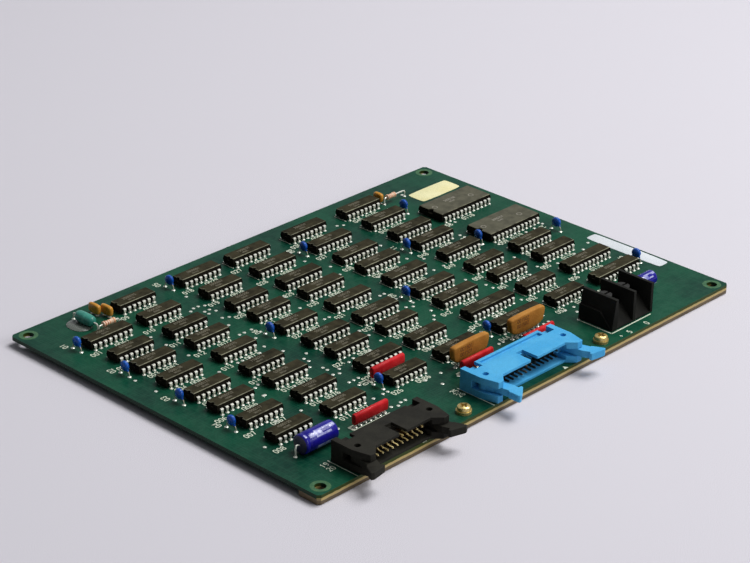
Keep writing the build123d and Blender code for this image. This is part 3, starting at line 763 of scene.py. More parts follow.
@dataclass
class Piece:
    """One finished mesh of the model.

    `nodes` are the CAD nodes that it stands in for, and edges sharper than `crease` degrees stay sharp.
    Its `slot` is not used.
    """

    name: str
    form: Form
    finishes: tuple[Finish, ...]
    nodes: tuple[str, ...] = ()
    slot: str = ""
    body: Body = Body.BOARD
    crease: float = 32.0

    def build(self) -> None:
        """Makes the mesh, with its finishes and a tone on each face, and ties it to its body."""
        form = self.form
        mesh = bpy.data.meshes.new(self.name)
        mesh.vertices.add(len(form.points))
        mesh.vertices.foreach_set("co", (form.points * MM).astype(np.float32).ravel())
        mesh.loops.add(len(form.corners))
        mesh.loops.foreach_set("vertex_index", form.corners.astype(np.int32))
        mesh.polygons.add(len(form.sizes))
        starts = np.concatenate([[0], np.cumsum(form.sizes)[:-1]]).astype(np.int32)
        mesh.polygons.foreach_set("loop_start", starts)
        mesh.polygons.foreach_set("material_index", form.finish.astype(np.int32))
        mesh.polygons.foreach_set("use_smooth", np.ones(len(form.sizes), bool))
        for finish in self.finishes:
            mesh.materials.append(finish.build())
        mesh.attributes.new("tone", "FLOAT", "FACE").data.foreach_set("value", form.tone.astype(np.float32))
        mesh.update(calc_edges=True)
        mesh.validate()
        mesh.set_sharp_from_angle(angle=math.radians(self.crease))
        made = linked(self.name, mesh)
        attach(made, self.body.value)
        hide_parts(*self.nodes)
        log.info("%s: %d faces", self.name, len(form.sizes))


def dress(node: str, finish: Finish, bevel: float = 0.0) -> None:
    """Gives a CAD node its finish and softens its edges.

    Args:
        node: Name of the node.
        finish: Its finish.
        bevel: Width of its edge rounding, or 0 for none.
    """
    made = frame["nodes"][node]
    made.data.materials.clear()
    made.data.materials.append(finish.build())
    if bevel:
        weld = made.modifiers.new("weld", "WELD")
        weld.merge_threshold = WELD_WITHIN
        rounding = made.modifiers.new("bevel", "BEVEL")
        rounding.width = bevel * MM
        rounding.segments = 2
        rounding.limit_method = "ANGLE"
        rounding.angle_limit = math.radians(BEVEL_FROM)
    log.info("%s: CAD form in %s", node, finish.name)


# ---------------------------------------------------------------- layout
@dataclass
class Grid:
    """The grid that the leads stand on, read from the CAD model."""

    top: float = 0.0
    left: float = 0.0
    front: float = 0.0
    half_x: float = 0.0
    half_y: float = 0.0
    lead_width: float = 1.3
    outset: float = 0.15

    def __post_init__(self) -> None:
        """Measures the board, the corner holes and the first column of leads."""
        hole_mount = frame["record"]["mounts"][0]["dims"]
        self.half_x = hole_mount["spacing_x_mm"] / 2
        self.half_y = hole_mount["spacing_y_mm"] / 2
        self.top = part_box("circuit_board")[1].z / MM
        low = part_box("leads_column_1")[0] / MM
        self.left = low.x + self.lead_width / 2
        self.front = low.y + self.outset

    def places(self, x: object, y: object) -> np.ndarray:
        """Places on the board's upper face from x and y, one or many, as (..., xyz)."""
        x, y = np.broadcast_arrays(x, y)
        return np.stack([x, y, np.full(x.shape, self.top)], -1)

    def at(self, column: object, row: object) -> np.ndarray:
        """Places counted in pitches to the right and to the back from the first lead."""
        column, row = np.asarray(column, float), np.asarray(row, float)
        return self.places(self.left + column * PITCH, self.front + row * PITCH)

    def from_hole(self, x: object, y: object) -> np.ndarray:
        """Places in millimetres to the right and to the back from the front left corner hole."""
        return self.places(np.asarray(x, float) - self.half_x, np.asarray(y, float) - self.half_y)


GRID = Grid()


def box_mm(node: str) -> tuple[np.ndarray, np.ndarray]:
    """Lowest and highest corner of a CAD node in millimetres."""
    low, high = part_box(node)
    return np.array(low) / MM, np.array(high) / MM


def middle_and_half(node: str) -> tuple[np.ndarray, np.ndarray]:
    """Middle of a CAD node and half its size along each axis, in millimetres."""
    low, high = box_mm(node)
    return (low + high) / 2, (high - low) / 2


def solder_foot(radius: float, *cone: tuple[float, float], finish: int = 1) -> Form:
    """Solder round the foot of a lead, turned about Z: a thin pad with a cone on it.

    Args:
        radius: Radius of the pad.
        cone: Radius and height of each ring of the cone, upwards.
        finish: Its finish.

    Returns:
        The solder, with z = 0 on the board.
    """
    return lathe([(radius, -SUNK), (radius, 0.04), *cone], 8).painted(finish)


@dataclass
class Feet:
    """Collects the places where leads pass through the board."""

    places: list[np.ndarray] = field(default_factory=list)

    def add(self, places: np.ndarray) -> np.ndarray:
        """Notes places.

        Args:
            places: The places as (..., xyz).

        Returns:
            The same places as (place, xyz).
        """
        places = np.asarray(places, float).reshape(-1, 3)
        self.places.append(places)
        return places


FEET = Feet()


# ---------------------------------------------------------------- numerals
@dataclass(frozen=True)
class Numerals:
    """Plain drawn figures, made of strokes on a cell one unit wide and two high."""

    height: float = 2.0
    stroke: float = 0.32
    thick: float = 0.03
    advance: float = 1.55

    STROKES = {
        "0": (((0, .4), (0, 1.6), (.3, 2), (.7, 2), (1, 1.6), (1, .4), (.7, 0), (.3, 0), (0, .4)),),
        "1": (((.2, 1.6), (.55, 2), (.55, 0)),),
        "2": (((0, 1.7), (.3, 2), (.8, 2), (1, 1.6), (1, 1.3), (0, 0), (1, 0)),),
        "3": (((0, 1.8), (.3, 2), (.8, 2), (1, 1.6), (.7, 1.1), (.4, 1.1)),
              ((.7, 1.1), (1, .6), (.8, 0), (.3, 0), (0, .3))),
        "4": (((.8, 0), (.8, 2), (0, .6), (1, .6)),),
        "5": (((1, 2), (.1, 2), (0, 1.1), (.7, 1.2), (1, .8), (1, .4), (.7, 0), (.2, 0), (0, .3)),),
        "6": (((.9, 1.9), (.5, 2), (.1, 1.5), (0, .5), (.3, 0), (.7, 0), (1, .4), (1, .8), (.7, 1.1),
               (.1, .9)),),
        "7": (((0, 2), (1, 2), (.4, 0)),),
        "8": (((.5, 1.1), (.1, 1.4), (.1, 1.8), (.4, 2), (.6, 2), (.9, 1.8), (.9, 1.4), (.5, 1.1), (1, .7),
               (1, .3), (.7, 0), (.3, 0), (0, .3), (0, .7), (.5, 1.1)),),
        "9": (((.1, .1), (.5, 0), (.9, .5), (1, 1.5), (.7, 2), (.3, 2), (0, 1.6), (0, 1.2), (.3, .9),
               (.9, 1.1)),),
        "+": (((.5, .4), (.5, 1.6)), ((0, 1), (1, 1))),
    }

    def line(self, points: Path) -> Form:
        """Draws one flat stroke.

        Args:
            points: Its points as (x, y).

        Returns:
            The stroke, lying on z = 0.
        """
        points = np.asarray(points, float)
        path = np.column_stack([points, np.full(len(points), self.thick / 3)])
        return sweep(path, rectangle(self.thick, self.stroke / 2), Z_AXIS)

    def word(self, text: str) -> Form:
        """Draws a row of figures from the origin to the right.

        Args:
            text: The figures.

        Returns:
            The figures, lying on z = 0.
        """
        scale = self.height / 2
        forms = []
        for place, figure in enumerate(text):
            for stroke in self.STROKES[figure]:
                points = np.asarray(stroke, float) * scale
                points[:, 0] += place * self.advance * scale
                forms.append(self.line(points))
        return Form.joined(forms)


# ---------------------------------------------------------------- board
@dataclass
class Board:
    """Laminate with its pads, markings and solder points."""

    # Millimetres to the right and to the back from the front left corner hole.
    vias: tuple[tuple[float, float], ...] = (
        (5, 33), (33, 43), (33, 24), (33, 67.3), (31.7, 60.8), (32.5, 125.5), (32.5, 116.5),
        (32.8, 104), (32, 86), (5, 103), (5, 91.3), (58.4, 30.5), (63.5, 30.5), (66, 30.5),
        (58.4, 21.5), (61, 20.3), (63.5, 21.5), (66, 21.5), (82.5, 26.5), (91, 26.5), (85, 20.2),
        (94, 20.2), (61, 45.7), (63.5, 45.7), (66, 45.7), (62.2, 41.6), (61, 54.2), (63.5, 53.2),
        (66, 55.8), (62.2, 58.4), (62.2, 60.8), (62.2, 68.4), (62.2, 71), (66, 73.6), (72.5, 57),
        (76, 58.2), (85, 58.2), (94, 60.8), (94, 67.2), (94, 72.4), (44.5, 58.2), (59, 64.6),
        (56.5, 64.6), (35.5, 68.5), (58.4, 89), (61, 81.2), (61, 96.4), (61, 102.8), (58.4, 102.8),
        (64.8, 102.8), (66, 99), (61, 111.8), (66, 116.8), (63.5, 118.2), (62.2, 124.5), (66, 124.5),
        (62.2, 127), (64.8, 127), (66, 131), (63.5, 132.2), (61, 132.2), (58.4, 131), (66, 142),
        (91.4, 89), (94, 89), (91.4, 102.8), (94, 114.2), (53.5, 86.4), (48, 86.4), (44.5, 86.4),
        (42, 86.4), (123, 153.5), (124.5, 142), (123, 132), (127, 121), (124.5, 113), (124.5, 88),
        (124.5, 81.5), (122, 88), (122, 73.6), (124.5, 72), (127, 64.6), (124.5, 60.8), (122, 58.4),
        (127, 74.5), (157.5, 73.6), (160, 64.6), (160, 60.8), (160, 45.7), (160, 54), (144.5, 43.2),
        (142, 43.2), (127, 26.6), (124.6, 26.6), (167.6, 23), (162.6, 18), (165, 27), (170, 26.6),
        (188, 61), (188, 73.6), (176, 58.2), (180, 58.2), (172.5, 58.2), (196.5, 57.2), (208.5, 58.2),
        (214.5, 58.2), (218.5, 68.6), (221, 61), (193, 61), (154.9, 152.4), (157.5, 147.2),
        (160, 145.8), (155, 88.8), (161, 88.8), (160, 99), (176.5, 101.4), (187.5, 91.4), (188, 104),
        (188, 101.4), (134, 100.2), (193, 86.4), (216, 86.4), (210.5, 86.4), (218.5, 81.2), (222, 87),
        (193, 114.5), (196.5, 114.5), (156.5, 120.6), (155, 104), (210.8, 18), (150, 25.4),
        (152.9, 25.4), (149, 33), (201, 150), (105, 43.4), (102, 43.4), (76, 43), (31, 60.8), (21, 44),
    )
    dot: Pairs = ((0.72, -SUNK), (0.72, 0.03), (0.5, 0.12), (0.3, 0.14))
    ring_r: float = 3.8
    hole_r: float = 2.2
    small: Numerals = Numerals(height=2.3, stroke=0.38)
    tall: Numerals = Numerals(height=2.3, stroke=0.36)
    line_width: float = 0.35
    block_line_width: float = 0.55
    lined_columns: tuple[int, ...] = (35, 48, 61)
    number_shifts: tuple[float, ...] = (-5.4, -4.2, 0.2)
    number_y: float = -3.7
    cone: Pairs = ((0.12, -1.3), (0.3, -0.9), (0.5, -0.3), (0.8, -0.05), (0.8, SUNK))
    bar_gap: float = 0.9

    def pads(self) -> Form:
        """Through pads between the packages, and a ring round each corner hole.

        Returns:
            The pads.
        """
        x, y = np.array(self.vias).T
        dot = lathe(self.dot, 10)
        ring = hoop(self.ring_r, self.hole_r, -SUNK, 0.02, 32).painted(1)
        ends = np.array([(i * GRID.half_x, j * GRID.half_y, GRID.top) for i in (-1, 1) for j in (-1, 1)])
        return Form.joined([dot.copies(FEET.add(GRID.from_hole(x, y))), ring.copies(ends)])

    def line(self, start: Sequence[float], end: Sequence[float], width: float | None = None) -> Form:
        """Straight printed line between two places measured from the corner hole."""
        return Numerals(stroke=width or self.line_width).line([start, end]).placed(GRID.from_hole(0, 0))

    def package_marks(self, places: Places) -> list[Form]:
        """Numbers in front of each package, and a line down the left end of some.

        Args:
            places: Column, row and lead count of each package.

        Returns:
            The marks.
        """
        forms = []
        for number, (column, row, _) in enumerate(places, 1):
            shift = self.number_shifts[(column + row) % 3]
            for text, x in (("%03d" % number, shift), ("%04d" % (60 + number), 8.0)):
                forms.append(self.small.word(text).placed(GRID.at(column, row) + (x, self.number_y, 0)))
            if column in self.lined_columns:
                x, y = (GRID.at(column, row)[:2] + (GRID.half_x - 1.9, GRID.half_y)).tolist()
                forms.append(self.line((x, y + 0.3), (x, y + 3 * PITCH - 0.3)))
        return forms

    def connector_marks(self) -> list[Form]:
        """Lines, figures and arrows beside the headers and the terminal block.

        Returns:
            The marks.
        """
        forms = [self.line((14.1, -4.5), (14.1, 10.5)), self.line((86.4, -4.5), (86.4, 14.0)),
                 self.line((162.4, 0.9), (162.4, 18.5), self.block_line_width),
                 self.line((162.2, 1.1), (187.0, 1.1), self.block_line_width)]
        for text, x, y in (("+", 163.0, -3.8), ("5", 168.2, -3.8), ("0", 179.0, -3.8),
                           ("19", 9.6, 7.9), ("20", 9.6, 4.6), ("25", 82.2, 11.8), ("26", 82.2, 8.6)):
            forms.append(self.tall.word(text).placed(GRID.from_hole(x, y)))
        arrow = slab(np.array([(1.1, -0.8), (0, 1.1), (-1.1, -0.8)]), [(-SUNK, 0), (0.03, 0)])
        return forms + [arrow.copies(GRID.from_hole([48.4, 127.8], [-3.9, -3.9]))]

    def small_part_marks(self) -> list[Form]:
        """Numbers behind the discs and frames under the red networks.

        Returns:
            The marks.
        """
        forms = []
        for number, (column, row) in enumerate(DISC_PLACES, 1):
            sign = self.small.word("%02d" % number).placed((0, 0, 0), Y_AXIS, LEFTWARDS)
            forms.append(sign.placed(GRID.at(column, row) + (-0.6, 2 * PITCH + 1.8, 0)))
        for column, row in NETWORK_PLACES:
            x, y = (GRID.at(column, row)[:2] + (GRID.half_x, GRID.half_y)).tolist()
            forms.append(self.line((x - 1.9, y - 1.3), (x - 1.9, y + 1.3), 1.3))
            forms += [self.line((x - 2.5, side), (x + 6 * PITCH + 1.4, side)) for side in (y - 1.4, y + 1.4)]
        return forms

    def solder_points(self) -> Form:
        """Solder points under the board: shallow cones round the lead ends, clear of the bar.

        Returns:
            The points.
        """
        places = np.concatenate(FEET.places)
        clear_of_bar = places[:, 1] > box_mm("stiffener_bar")[1][1] + self.bar_gap
        return lathe(self.cone, 8).copies(places[clear_of_bar] * (1, 1, 0))

    def build(self, places: Places) -> None:
        """Makes the board's pieces.

        Args:
            places: Column, row and lead count of each package.
        """
        dress("circuit_board", MASK)
        Piece("board_pads", self.pads(), (SOLDER, SPOT), slot=TIN.name).build()
        marks = self.package_marks(places) + self.connector_marks() + self.small_part_marks()
        Piece("board_markings", Form.joined(marks), (INK,), slot=WHITE_PAPER.name).build()
        Piece("solder_points", self.solder_points(), (SOLDER,), slot=TIN.name).build()


# ---------------------------------------------------------------- packages
# Columns and rows are counted in pitches to the right and to the back from the first lead. A count of
# 0 stands for a place without a package.
COLUMNS = (0, 11, 24, 35, 48, 61, 72)
ROWS = (46, 40, 34, 29, 23, 17, 12, 6, 0)
LEADS_PER_SIDE = (
    (0, 8, 7, 7, 7, 7, 7, 7, 7),
    (7, 7, 7, 7, 7, 7, 7, 7, 7),
    (8, 7, 7, 7, 7, 8, 7, 8, 7),
    (8, 8, 8, 8, 8, 8, 7, 7, 8),
    (8, 8, 8, 8, 8, 8, 8, 10, 10),
    (8, 8, 8, 8, 8, 7, 7, 7, 7),
    (0, 0, 0, 0, 0, 8, 8, 10, 10),
)
WIDE_PLACES = ((72, 34, 12), (72, 23, 12))
DISC_PLACES = ((-2, 41), (-2, 30), (-2, 18), (-2, 7), (22, 47), (22, 24), (22, 1), (46, 41), (46, 18),
               (46, 1), (59, 30), (70, 41), (70, 24), (83, 18), (83, 1))
NETWORK_PLACES = ((11, -4), (23, 4), (34, -4), (47, -5))
TALL_PLACES = ((34.5, -2), (47.5, -2))


@dataclass
class Packages:
    """Moulded dual in-line packages with their bent leads."""

    rows: int = 3
    standoff: float = 0.6
    seam: float = 2.3
    height: float = 4.0
    draft: float = 0.3
    end: float = 1.1
    shoulder: float = 0.65
    notch: float = 0.85
    edge: float = 0.22
    half_seam: float = 0.1
    lead_widths: tuple[float, ...] = (1.3, 1.3, 1.3, 1.3, 1.15, 0.8, 0.62)
    lead_thick: float = 0.25
    large: Numerals = Numerals(height=1.25, stroke=0.24, thick=0.015)
    small: Numerals = Numerals(height=0.85, stroke=0.18, thick=0.015)
    skin: Finish = RESIN
    mark: Finish = STAMP

    @property
    def half_y(self) -> float:
        """Half the width of a body at its seam."""
        return self.rows * PITCH / 2 - self.shoulder

    def outline(self, half_x: float, half_y: float, depth: float) -> np.ndarray:
        """Rectangle whose left end holds a half-round notch.

        Args:
            half_x: Half its length.
            half_y: Half its width.
            depth: Share of the notch that is cut, 0 or 1.

        Returns:
            The outline, anticlockwise.
        """
        angle = np.linspace(np.pi / 2, -np.pi / 2, 9)
        arc = np.stack([-half_x + depth * self.notch * np.cos(angle), self.notch * np.sin(angle)], -1)
        sides = np.array([(half_x, -half_y), (half_x, half_y), (-half_x, half_y)])
        return np.concatenate([sides, arc, [(-half_x, -half_y)]])

    def moulding(self, count: int, tone: float) -> Form:
        """One package body about its own middle: sloping sides in painted shade, a seam, a notch and a top
        edge lightened by wear and a painted highlight.

        Args:
            count: Leads on each side.
            tone: How worn it is.

        Returns:
            The body, standing on z = 0.
        """
        half_x = (count * PITCH + self.end) / 2
        low, high = self.seam - self.half_seam, self.seam + self.half_seam
        levels = ((self.standoff, self.draft, 0), (low, 0.03, 0), (low, 0, 0), (high, 0, 0), (high, 0, 1),
                  (high, 0.03, 1), (self.height - self.edge, self.draft, 1),
                  (self.height, self.draft + self.edge, 1))
        rings = ((self.outline(half_x - inset, self.half_y - inset, depth), height)
                 for height, inset, depth in levels)
        return stacked(rings, np.array([1, 1, 1, 1, 1, 1, 2]), (1, 0), tone=tone)

    def stamp(self, number: int) -> Form:
        """Faint generic figures on top of a body.

        Args:
            number: Number of the package.

        Returns:
            Two rows of figures about the middle of the body.
        """
        first = self.large.word("%02d0%04d" % (number, 3 * number))
        second = self.small.word("%05d" % (7 * number))
        return Form.joined([first.placed((-4.6, 0.3, self.height)), second.placed((-3.4, -1.5, self.height))])

    def lead(self) -> Form:
        """One lead on the front side: out of the body, bent down, broad and then narrow, into its solder.

        Of the blade's six bands of four sides the last two, below the shoulder, are dull.

        Returns:
            The lead, with x = 0 in its middle and y = 0 on the body's side.
        """
        out = -self.shoulder
        down = out - 0.02
        path = [(0, 0.2, self.seam), (0, -0.3, self.seam), (0, out + 0.1, self.seam - 0.07),
                (0, down, self.seam - 0.25), (0, down, 1.25), (0, down, 0.75), (0, out, 0.0)]
        blade = strip(path, self.lead_widths, self.lead_thick)
        blade.finish = np.repeat([0, 1, 0], [4 * 4, 2 * 4, 2])
        foot = solder_foot(0.86, (0.55, 0.14), (0.34, 0.42), (0.2, 0.5), finish=2)
        return Form.joined([blade, foot.placed((0, out, 0))])

    def build(self, name: str, places: Places, node: str, lead_node: str) -> None:
        """Makes the bodies and the leads of some packages.

        Args:
            name: Stem of the names of the pieces.
            places: Column, row and lead count of each package.
            node: CAD node of the bodies.
            lead_node: CAD node of the leads.
        """
        bodies, stamps, spots, turns = [], [], [], []
        draw = np.random.default_rng(len(node) * 31 + places[0][0])
        for column, row, count in places:
            middle = GRID.at(column + (count - 1) / 2, row + self.rows / 2)
            bodies.append(self.moulding(count, float(draw.uniform(0, 0.8))).placed(middle))
            stamps.append(self.stamp(int(draw.integers(10, 99))).placed(middle))
            steps = (np.arange(count) - (count - 1) / 2) * PITCH
            for side in (-1, 1):
                spots.append(middle + np.stack([steps, np.full(count, side * self.half_y), 0 * steps], -1))
                turns.append(np.full(count, 0.0 if side < 0 else 180.0))
                FEET.add(spots[-1] + (0, side * self.shoulder, 0))
        spots, turns = np.concatenate(spots), np.concatenate(turns)
        body = Form.joined(bodies + [Form.joined(stamps).painted(3)])
        Piece(name, body, (self.skin, RESIN_SIDE, RESIN_EDGE, self.mark), (node,)).build()
        leads = self.lead().copies(spots, turns, draw.uniform(0, 1, len(spots)))
        Piece(name + "_leads", leads, (TIN, SHAFT, SOLDER), (lead_node,)).build()


@dataclass
class WidePackages(Packages):
    """Twice as wide packages, in a paler resin, with a round mark by their notch."""

    rows: int = 6
    notch: float = 1.3
    skin: Finish = WIDE_RESIN
    mark: Finish = WIDE_STAMP

    def stamp(self, number: int) -> Form:
        """Faint generic figures and two pressed rings on top of a body.

        Args:
            number: Number of the package.

        Returns:
            The marks about the middle of the body.
        """
        figures = super().stamp(number).placed((0, 1.2, 0))
        ring = hoop(1.25, 0.95, 0, 0.015, 20)
        return Form.joined([figures, ring.copies([(-12.2, 0.6, self.height), (8.6, -1.5, self.height)])])


# ---------------------------------------------------------------- headers
@dataclass
class Header:
    """Right-angle box header with two rows of pins and two ejector latches.

    `column` and `mouth_row` are the middle of its mouth on the grid, `reach` is a latch's length in front
    of its pivot, `angles` are how far the latches stand open in degrees, and `bent` is how far an upper
    tip is bent up, by its number from the left.
    """

    name: str
    contacts: int
    column: float
    mouth_row: float
    reach: float
    angles: dict[str, float]
    skin: Finish
    pin: Finish
    pin_side: Finish
    bent: dict[int, float] = field(default_factory=dict)
    height: float = 8.8
    end: float = 10.8
    pin_width: float = 0.64
    tip_y: float = 1.15
    tail_y: float = 10.3
    base_y: float = 4.6
    bend: float = 0.7
    pivot_in: float = 3.7
    pivot_y: float = 4.7
    bevel: float = 0.18
    ridges: int = 5
    ridge_gap: float = 0.95
    ridge_out: float = 0.1
    ridge_first: float = 0.75
    ridge: Pairs = ((0.3, -1.35), (0.42, -1.1), (0.42, 1.1), (0.3, 1.35))

    def pins(self) -> Form:
        """Square pins with tapered tips, bent down behind the base wall. Some upper tips are bent.

        The six bands of a pin have four sides each, right, underside, left and top. The tip, the top
        behind it and the front face take the finish painted as lit, and the rest the finish in painted shade.

        Returns:
            Both rows of pins, with solder where they meet the board.
        """
        origin = GRID.at(self.column, self.mouth_row)
        square = rectangle(self.pin_width / 2, self.pin_width / 2)
        taper = np.array([0.45, 1, 1, 1, 1, 1, 1])[:, None, None]
        shades = np.full(6 * 4 + 2, 2)
        shades[[0, 1, 2, 3, 7, 24]] = 0
        solder = solder_foot(0.9, (0.5, 0.3), (0.36, 0.5))
        forms = []
        for row, tail in ((-0.5, self.tail_y), (0.5, self.tail_y + PITCH)):
            z = self.height / 2 + row * PITCH
            for number in range(self.contacts):
                lift = self.bent.get(number, 0.0) if row > 0 else 0.0
                path = [(0, self.tip_y, z + lift), (0, self.tip_y + 0.5, z + lift * 0.9), (0, self.base_y, z),
                        (0, tail - self.bend, z), (0, tail - 0.2, z - 0.2), (0, tail, z - self.bend),
                        (0, tail, 0.0)]
                x = (number - (self.contacts - 1) / 2) * PITCH
                pin = replace(sweep(path, taper * square), finish=shades)
                forms.append(pin.placed(origin + (x, 0, 0)))
                forms.append(solder.placed(FEET.add(origin + (x, tail, 0))[0]))
        return Form.joined(forms)

    def ribs(self, side: int, angle: float) -> Form:
        """Finger grip of a latch: upright ridges on the outer face of its free end.

        Args:
            side: -1 for the left latch, 1 for the right one.
            angle: How far it stands open, in degrees.

        Returns:
            The ridges in their place.
        """
        pivot = (self.contacts - 1) * PITCH / 2 + self.end - self.pivot_in
        turn = math.radians(side * angle)
        x_axis = (math.cos(turn), math.sin(turn), 0.0)
        y_axis = (-math.sin(turn), math.cos(turn), 0.0)
        origin = GRID.at(self.column, self.mouth_row) + (side * pivot, self.pivot_y, self.height / 2)
        rows = np.arange(self.ridges) * self.ridge_gap - self.reach + self.ridge_first
        places = np.stack([np.full(self.ridges, side * -self.ridge_out), rows, np.zeros(self.ridges)], -1)
        return lathe(self.ridge, 8).copies(places).placed(origin, x_axis, y_axis)

    def build(self) -> None:
        """Makes the header's pieces."""
        dress(self.name + "_housing", self.skin, self.bevel)
        Piece(self.name + "_contacts", self.pins(), (self.pin, SOLDER, self.pin_side),
              (self.name + "_pins",), GOLD.name).build()
        for side_name, side in (("left", -1), ("right", 1)):
            latch = "%s_%s_latch" % (self.name, side_name)
            dress(latch, self.skin, self.bevel)
            ribs = self.ribs(side, self.angles[side_name])
            Piece(latch + "_grip", ribs, (self.skin,), body=Body(latch)).build()


# ---------------------------------------------------------------- stiffener bar and terminal block
@dataclass
class Fastenings:
    """Bar under the connector edge, held by two pan-head screws with spring washers."""

    head_r: float = 2.65
    shank_r: float = 1.45
    recess_l: float = 1.75
    recess_w: float = 0.5
    from_end: float = 2.8
    shank_low: float = -3.7
    seat: float = 1.2
    washer_r: float = 3.0
    washer_hole_r: float = 1.6
    washer_h: float = 0.5
    spring_r: float = 2.45
    spring_z: float = 0.82
    spring_rise: float = 0.03
    bevel: float = 0.12

    def screw(self) -> Form:
        """Domed head with a cross recess over a plain shank, drawn from z = 0 at the board's top.

        Returns:
            The screw.
        """
        half = self.recess_w
        cross = [np.array([(self.recess_l, 0), (self.recess_l, half), (half, half), (half, self.recess_l)])]
        for _ in range(3):
            cross.append(cross[-1] @ np.array([[0, 1], [-1, 0]]))
        cross = np.concatenate(cross)
        ring = cross / np.linalg.norm(cross, axis=1, keepdims=True)
        head = ring * self.head_r
        shank = ring * self.shank_r
        return stacked([(shank, self.shank_low), (shank, self.seat), (head, self.seat), (head, 2.3),
                        (head * 0.96, 2.6), (head * 0.84, 2.85), (cross, 3.0), (cross * 0.9, 1.7)])

    def spring_washer(self) -> Form:
        """Split ring: a square section along most of one turn, rising a little.

        Returns:
            The washer.
        """
        angle = np.radians(np.linspace(20, 345, 26))
        height = self.spring_z + angle * self.spring_rise
        path = np.stack([self.spring_r * np.cos(angle), self.spring_r * np.sin(angle), height], -1)
        return sweep(path, rectangle(0.26, 0.58), Z_AXIS)

    def build(self) -> None:
        """Makes the bar, its screws and their washers."""
        # The bar's finish is darkened as painted shade.
        dress("stiffener_bar", BAR, self.bevel)
        low, high = box_mm("stiffener_screws")
        middle = (low[1] + high[1]) / 2
        ends = [(x, middle, GRID.top) for x in (low[0] + self.from_end, high[0] - self.from_end)]
        Piece("bar_screws", self.screw().copies(ends), (ZINC,), ("stiffener_screws",)).build()
        washer = hoop(self.washer_r, self.washer_hole_r, 0, self.washer_h, 24)
        rings = Form.joined([washer, self.spring_washer()])
        Piece("bar_washers", rings.copies(ends), (ZINC,), ("stiffener_washers",)).build()


# ---------------------------------------------------------------- small parts
WIRE_R = 0.32


def hooked(length: float, height: float, foot: float, side: int, lift: float = 0.0) -> Form:
    """Lead of a lying part: out of one end along X, round a bend and down to the board.

    Args:
        length: Length of the part.
        height: Height of its axis.
        foot: Distance from its middle to the lead's foot.
        side: 1 for the right end, -1 for the left end.
        lift: How much the lead rises before its bend.

    Returns:
        The lead about the part's middle, with z = 0 on the board.
    """
    out = foot - length / 2
    bend = min(0.9, out * 0.6)
    top = height + lift
    path = [(length / 2 - 0.3, height), (foot - bend, top), (foot - bend * 0.35, top - bend * 0.2),
            (foot, height - bend), (foot, 0.35), (foot, 0.0)]
    points = [(side * x, 0, z) for x, z in path]
    solder = solder_foot(0.85, (0.55, 0.3), (0.34, 0.5)).placed((side * foot, 0, 0))
    return Form.joined([wire(points, WIRE_R, 8, Y_AXIS), solder])


@dataclass
class Networks:
    """Single in-line networks: slim red ones and tall brown ones."""

    leads: int = 7
    slim_foot: float = 1.0
    slim_ends: Pairs = ((-8.7, 0.5), (-8.62, 0.2), (-8.4, 0), (8.4, 0), (8.62, 0.2), (8.7, 0.5))
    tall_foot: float = 1.6
    tall_face: Pairs = ((-8.7, 1.6), (8.7, 1.6), (10.2, 6.5), (10.2, 8.4), (9.1, 9.5), (-9.1, 9.5),
                        (-10.2, 8.4), (-10.2, 6.5))
    tall_half: float = 1.35

    def lead(self, foot: float) -> Form:
        """Lead under a network, broad at its shoulder.

        Args:
            foot: Height of the network's underside.

        Returns:
            The lead, with solder at its foot.
        """
        blade = strip([(0, 0, foot + 0.2), (0, 0, foot - 0.25), (0, 0, foot * 0.4), (0, 0, 0)],
                      (1.25, 1.25, 0.6, 0.5), 0.3)
        return Form.joined([blade, solder_foot(0.95, (0.6, 0.25), (0.3, 0.5))])

    def slim(self, _: int) -> Form:
        """Slim network about the middle between its feet."""
        body = slab(smoothed(rectangle(1.15, 2.3, 0.7), 2), self.slim_ends)
        return body.placed((0, 0, 3.3), Y_AXIS, Z_AXIS)

    def tall(self, number: int) -> Form:
        """Tall network about the middle between its feet, with two rows of figures.

        Args:
            number: Number of the network.

        Returns:
            The network.
        """
        body = pillow(smoothed(self.tall_face, 2), -self.tall_half, self.tall_half, 0.6)
        sign = Numerals(height=1.5, stroke=0.22, thick=0.02).word("%06d" % (1500 + number)).painted(1)
        signs = [sign.placed((-6.4, y, self.tall_half)) for y in (4.6, 6.8)]
        return Form.joined([body] + signs).placed((0, 0, 0), X_AXIS, Z_AXIS)

    def build(self) -> None:
        """Makes the networks and their leads."""
        span = (self.leads - 1) / 2
        steps = (np.arange(self.leads) - span)[:, None] * PITCH * np.array(X_AXIS)
        kinds = (("red_network_%d", "resistor_network_%d", NETWORK_PLACES, self.slim, self.slim_foot,
                  (RED_RESIN,)),
                 ("brown_network_%d", "tall_network_%d", TALL_PLACES, self.tall, self.tall_foot,
                  (BROWN_RESIN, BROWN_STAMP)))
        leads = []
        for name, node, places, shape, foot, finishes in kinds:
            for number, (column, row) in enumerate(places, 1):
                middle = GRID.at(column + span, row)
                Piece(name % number, shape(number).placed(middle), finishes, (node % number,),
                      crease=50).build()
                leads.append(self.lead(foot).copies(FEET.add(middle + steps)))
        Piece("network_lead_rows", Form.joined(leads), (TIN, SOLDER), ("network_leads",)).build()


